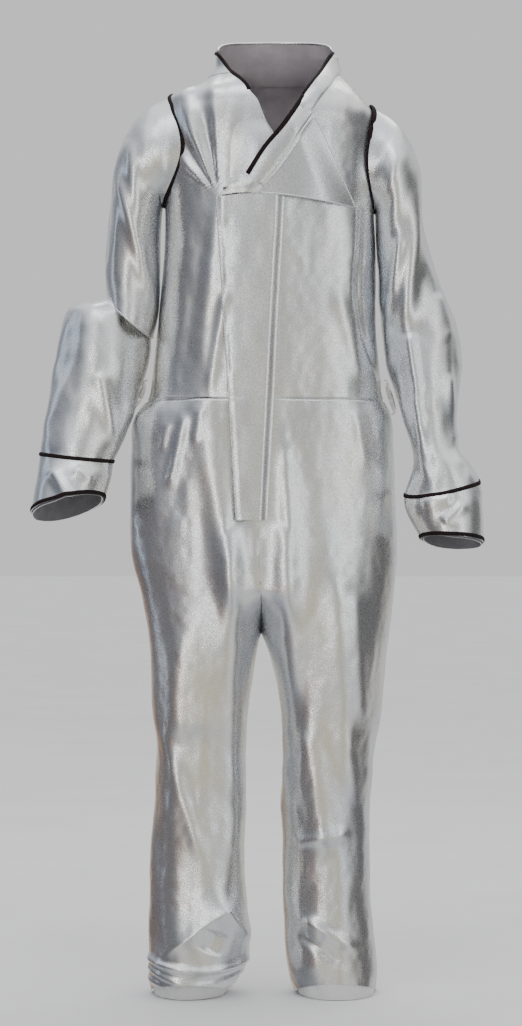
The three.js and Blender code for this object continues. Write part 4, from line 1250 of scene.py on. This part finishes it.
def neck_band():
    """The left collar's folded band above the throat flap, beside its binding."""
    rows, columns = 40, 14
    z = between(0.086, -0.020, rows)
    inner = neck_edge("left", z) + 0.002
    flat_x = inner[:, None] + 0.024 * between(0, 1, columns)[None]
    flat_z = z[:, None] - 0.010 * between(0, 1, columns)[None]
    middle, half, *_ = jacket_section(flat_z)
    grid, normals = on_front(np.minimum(flat_x, middle + 0.985 * half), flat_z, 0.0030)
    bulge = 0.0025 * np.sin(between(0, math.pi, columns))[None] ** 0.6
    grid = grid + normals * bulge[..., None]
    normals = grid_normals(grid, (0, -1, 0))
    sew(cloth("neck_band", grid, normals, SILVER_SHEET), "silver_cloth", [], "suit_body")


def belt_loop(side):
    """A strap that stands off the waist, open for a belt."""
    sign = SIDES[side]
    low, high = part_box(f"{side}_belt_loop")
    top, bottom = high[2] + 0.003, low[2] - 0.003
    rows, columns = 48, 8
    share = between(0, 1, rows)
    z = towards(top, bottom, share)
    middle, half, *_ = jacket_section(z)
    flare = 0.007 * (1 - ease(share, 0, 0.25))
    off = 0.0018 + 0.0120 * np.sin(math.pi * share) ** 0.35 + flare
    y = np.ones((rows, 1)) * between(low[1], high[1], columns)
    twist = 0.0070 * np.sin(math.pi * share)[:, None] * between(1, 0, columns)
    x = (middle + sign * (half + off))[:, None] + sign * twist
    grid = np.stack([x, y, z[:, None] * np.ones(columns)], axis=-1)
    normals = grid_normals(grid, (sign, 0, 0))
    piece = cloth(f"{side}_belt_strap", grid, normals, (SILVER,) * 3, thickness=0.0026)
    sew(piece, "silver_cloth", [f"{side}_belt_loop"], "suit_body")


def dress_zip():
    """The zip's hard parts keep their CAD shapes and get their finishes."""
    finishes = {
        "zip_teeth_right": TEETH,
        "zip_teeth_left": TEETH,
        "zip_bottom_stop": BRASS,
        "zip_slider": BRASS,
        "zip_puller": BRASS,
    }
    for name, material in finishes.items():
        mesh = frame["nodes"][name].data
        mesh.materials.clear()
        mesh.materials.append(material)


# ---- Studio ----
def floor_material():
    nodes = new_material("pale_floor")
    nodes.set(
        Base_Color=nodes.ramp(nodes.noise(3.0), [(0.3, (0.84, 0.84, 0.85)), (0.7, (0.88, 0.88, 0.89))]),
        Roughness=0.95,
        Specular_IOR_Level=0.0,
    )
    return nodes.owner


def studio():
    """A pale floor. The cloth's reflections don't show it, so that they keep the contrast of the walls."""
    reach, tiles = 30.0, 24
    ticks = between(-reach, reach, tiles + 1)
    vertices = np.array([(x, y, HEM - 0.001) for y in ticks for x in ticks])
    row = tiles + 1
    corners = [j * row + i for j in range(tiles) for i in range(tiles)]
    faces = [[c, c + 1, c + row + 1, c + row] for c in corners]
    floor = mesh_object("floor", vertices, faces, [0] * len(faces), None, (floor_material(),))
    floor.visible_glossy = False


def panel_light(name, place, target, width, height, power, colour, lights_floor=True):
    light = bpy.data.lights.new(name, "AREA")
    light.shape = "RECTANGLE"
    light.size, light.size_y = width, height
    light.energy = power
    light.color = colour
    lamp = bpy.data.objects.new(name, light)
    lamp.location = place
    lamp.rotation_euler = (Vector(target) - Vector(place)).to_track_quat("-Z", "Y").to_euler()
    lamp.visible_diffuse = lights_floor
    bpy.context.scene.collection.objects.link(lamp)


def lights():
    middle = (0, 0, HEM / 2)
    panel_light("key_strip", (-1.15, -3.0, -0.45), middle, 0.26, 2.8, 13, (1.0, 0.99, 0.98), False)
    panel_light("fill_strip", (1.9, -2.7, -0.2), middle, 0.40, 2.6, 9, (0.97, 1.0, 0.95), False)
    panel_light("top_soft", (-0.3, -1.6, 2.2), (0, 0, -0.3), 2.0, 0.9, 12, (0.94, 0.97, 1.0))
    panel_light("cool_side", (-2.6, 0.4, -0.2), middle, 0.5, 2.4, 4, (0.72, 0.84, 1.0), False)
    panel_light("back_soft", (0.4, 1.6, 2.2), (0, 0, HEM / 2), 2.2, 1.6, 24, (1.0, 1.0, 1.0))


# Brightness of the studio walls by direction, from the suit's right (-1) to its left (1). They are neutral,
# but for a warmer band with more contrast just below the horizon.
UPPER_WALLS = [
    (-1.00, (0.15, 0.15, 0.17)),
    (-0.82, (0.24, 0.26, 0.30)),
    (-0.62, (0.56, 0.59, 0.64)),
    (-0.42, (0.80, 0.83, 0.87)),
    (-0.22, (6.40, 6.50, 6.60)),
    (-0.06, (0.33, 0.33, 0.34)),
    (0.12, (0.42, 0.42, 0.42)),
    (0.32, (0.45, 0.45, 0.44)),
    (0.55, (8.50, 8.50, 8.30)),
    (0.76, (0.20, 0.20, 0.20)),
    (1.00, (0.13, 0.13, 0.13)),
]
LOWER_WALLS = [
    (-1.00, (0.22, 0.20, 0.21)),
    (-0.80, (0.15, 0.12, 0.12)),
    (-0.60, (0.34, 0.23, 0.18)),
    (-0.40, (0.80, 0.50, 0.34)),
    (-0.22, (3.60, 2.30, 1.50)),
    (0.00, (1.60, 0.76, 0.40)),
    (0.22, (1.60, 0.82, 0.46)),
    (0.40, (1.30, 0.92, 0.66)),
    (0.57, (14.0, 13.2, 12.0)),
    (0.72, (0.22, 0.18, 0.15)),
    (1.00, (0.12, 0.12, 0.13)),
]


def world():
    """Studio walls in soft bands under a bright ceiling, and one plain pale colour past the suit."""
    nodes = Nodes(bpy.data.worlds.new("studio_walls"), "Background")
    bpy.context.scene.world = nodes.owner
    directions = nodes.add("ShaderNodeTexCoord").outputs["Generated"]
    split = nodes.add("ShaderNodeSeparateXYZ", {"Vector": directions})
    height = split.outputs["Z"]
    across = nodes.range(split.outputs["X"], 0, 1, -1, 1)
    upper, lower = (
        nodes.ramp(across, [((x + 1) / 2, colour) for x, colour in walls], "B_SPLINE")
        for walls in (UPPER_WALLS, LOWER_WALLS)
    )
    walls = nodes.mix("MIX", nodes.range(height, 0, 1, 0.00, -0.09, "SMOOTHSTEP"), upper, lower)
    walls = nodes.mix("MIX", nodes.range(height, 0, 1, -0.32, -0.46, "SMOOTHSTEP"), walls, upper)
    lit = nodes.mix("ADD", 1.0, walls, nodes.range(height, 0, 0.9, 0.25, 1.0, "SMOOTHSTEP"))
    past_the_suit = nodes.add("ShaderNodeLightPath").outputs["Is Camera Ray"]
    nodes.set(Color=nodes.mix("MIX", past_the_suit, lit, (0.99, 0.99, 1.0, 1)), Strength=0.75)


def camera():
    """Level with the suit's middle, straight in front."""
    data = bpy.data.cameras.new("front_camera")
    distance, picture_height, sensor = 4.5, 1.785, 36
    data.lens = sensor * distance / picture_height
    eye = bpy.data.objects.new("front_camera", data)
    eye.location = (-0.010, -distance - CHEST_FRONT / 2, -0.7166)
    eye.rotation_euler = (math.pi / 2, 0, 0)
    bpy.context.scene.collection.objects.link(eye)
    bpy.context.scene.camera = eye


jacket_panels()
collar()
neck_bindings()
neck_band()
zip_tapes()
inner_fly()
zip_garage()
dress_zip()
storm_flap()
hook_and_loop()
throat_flap()
crotch_tape()
for side_name in SIDES:
    sleeve(side_name)
    belt_loop(side_name)
    trouser_panels(side_name)
    hem_facing(side_name)
studio()
lights()
world()
camera()
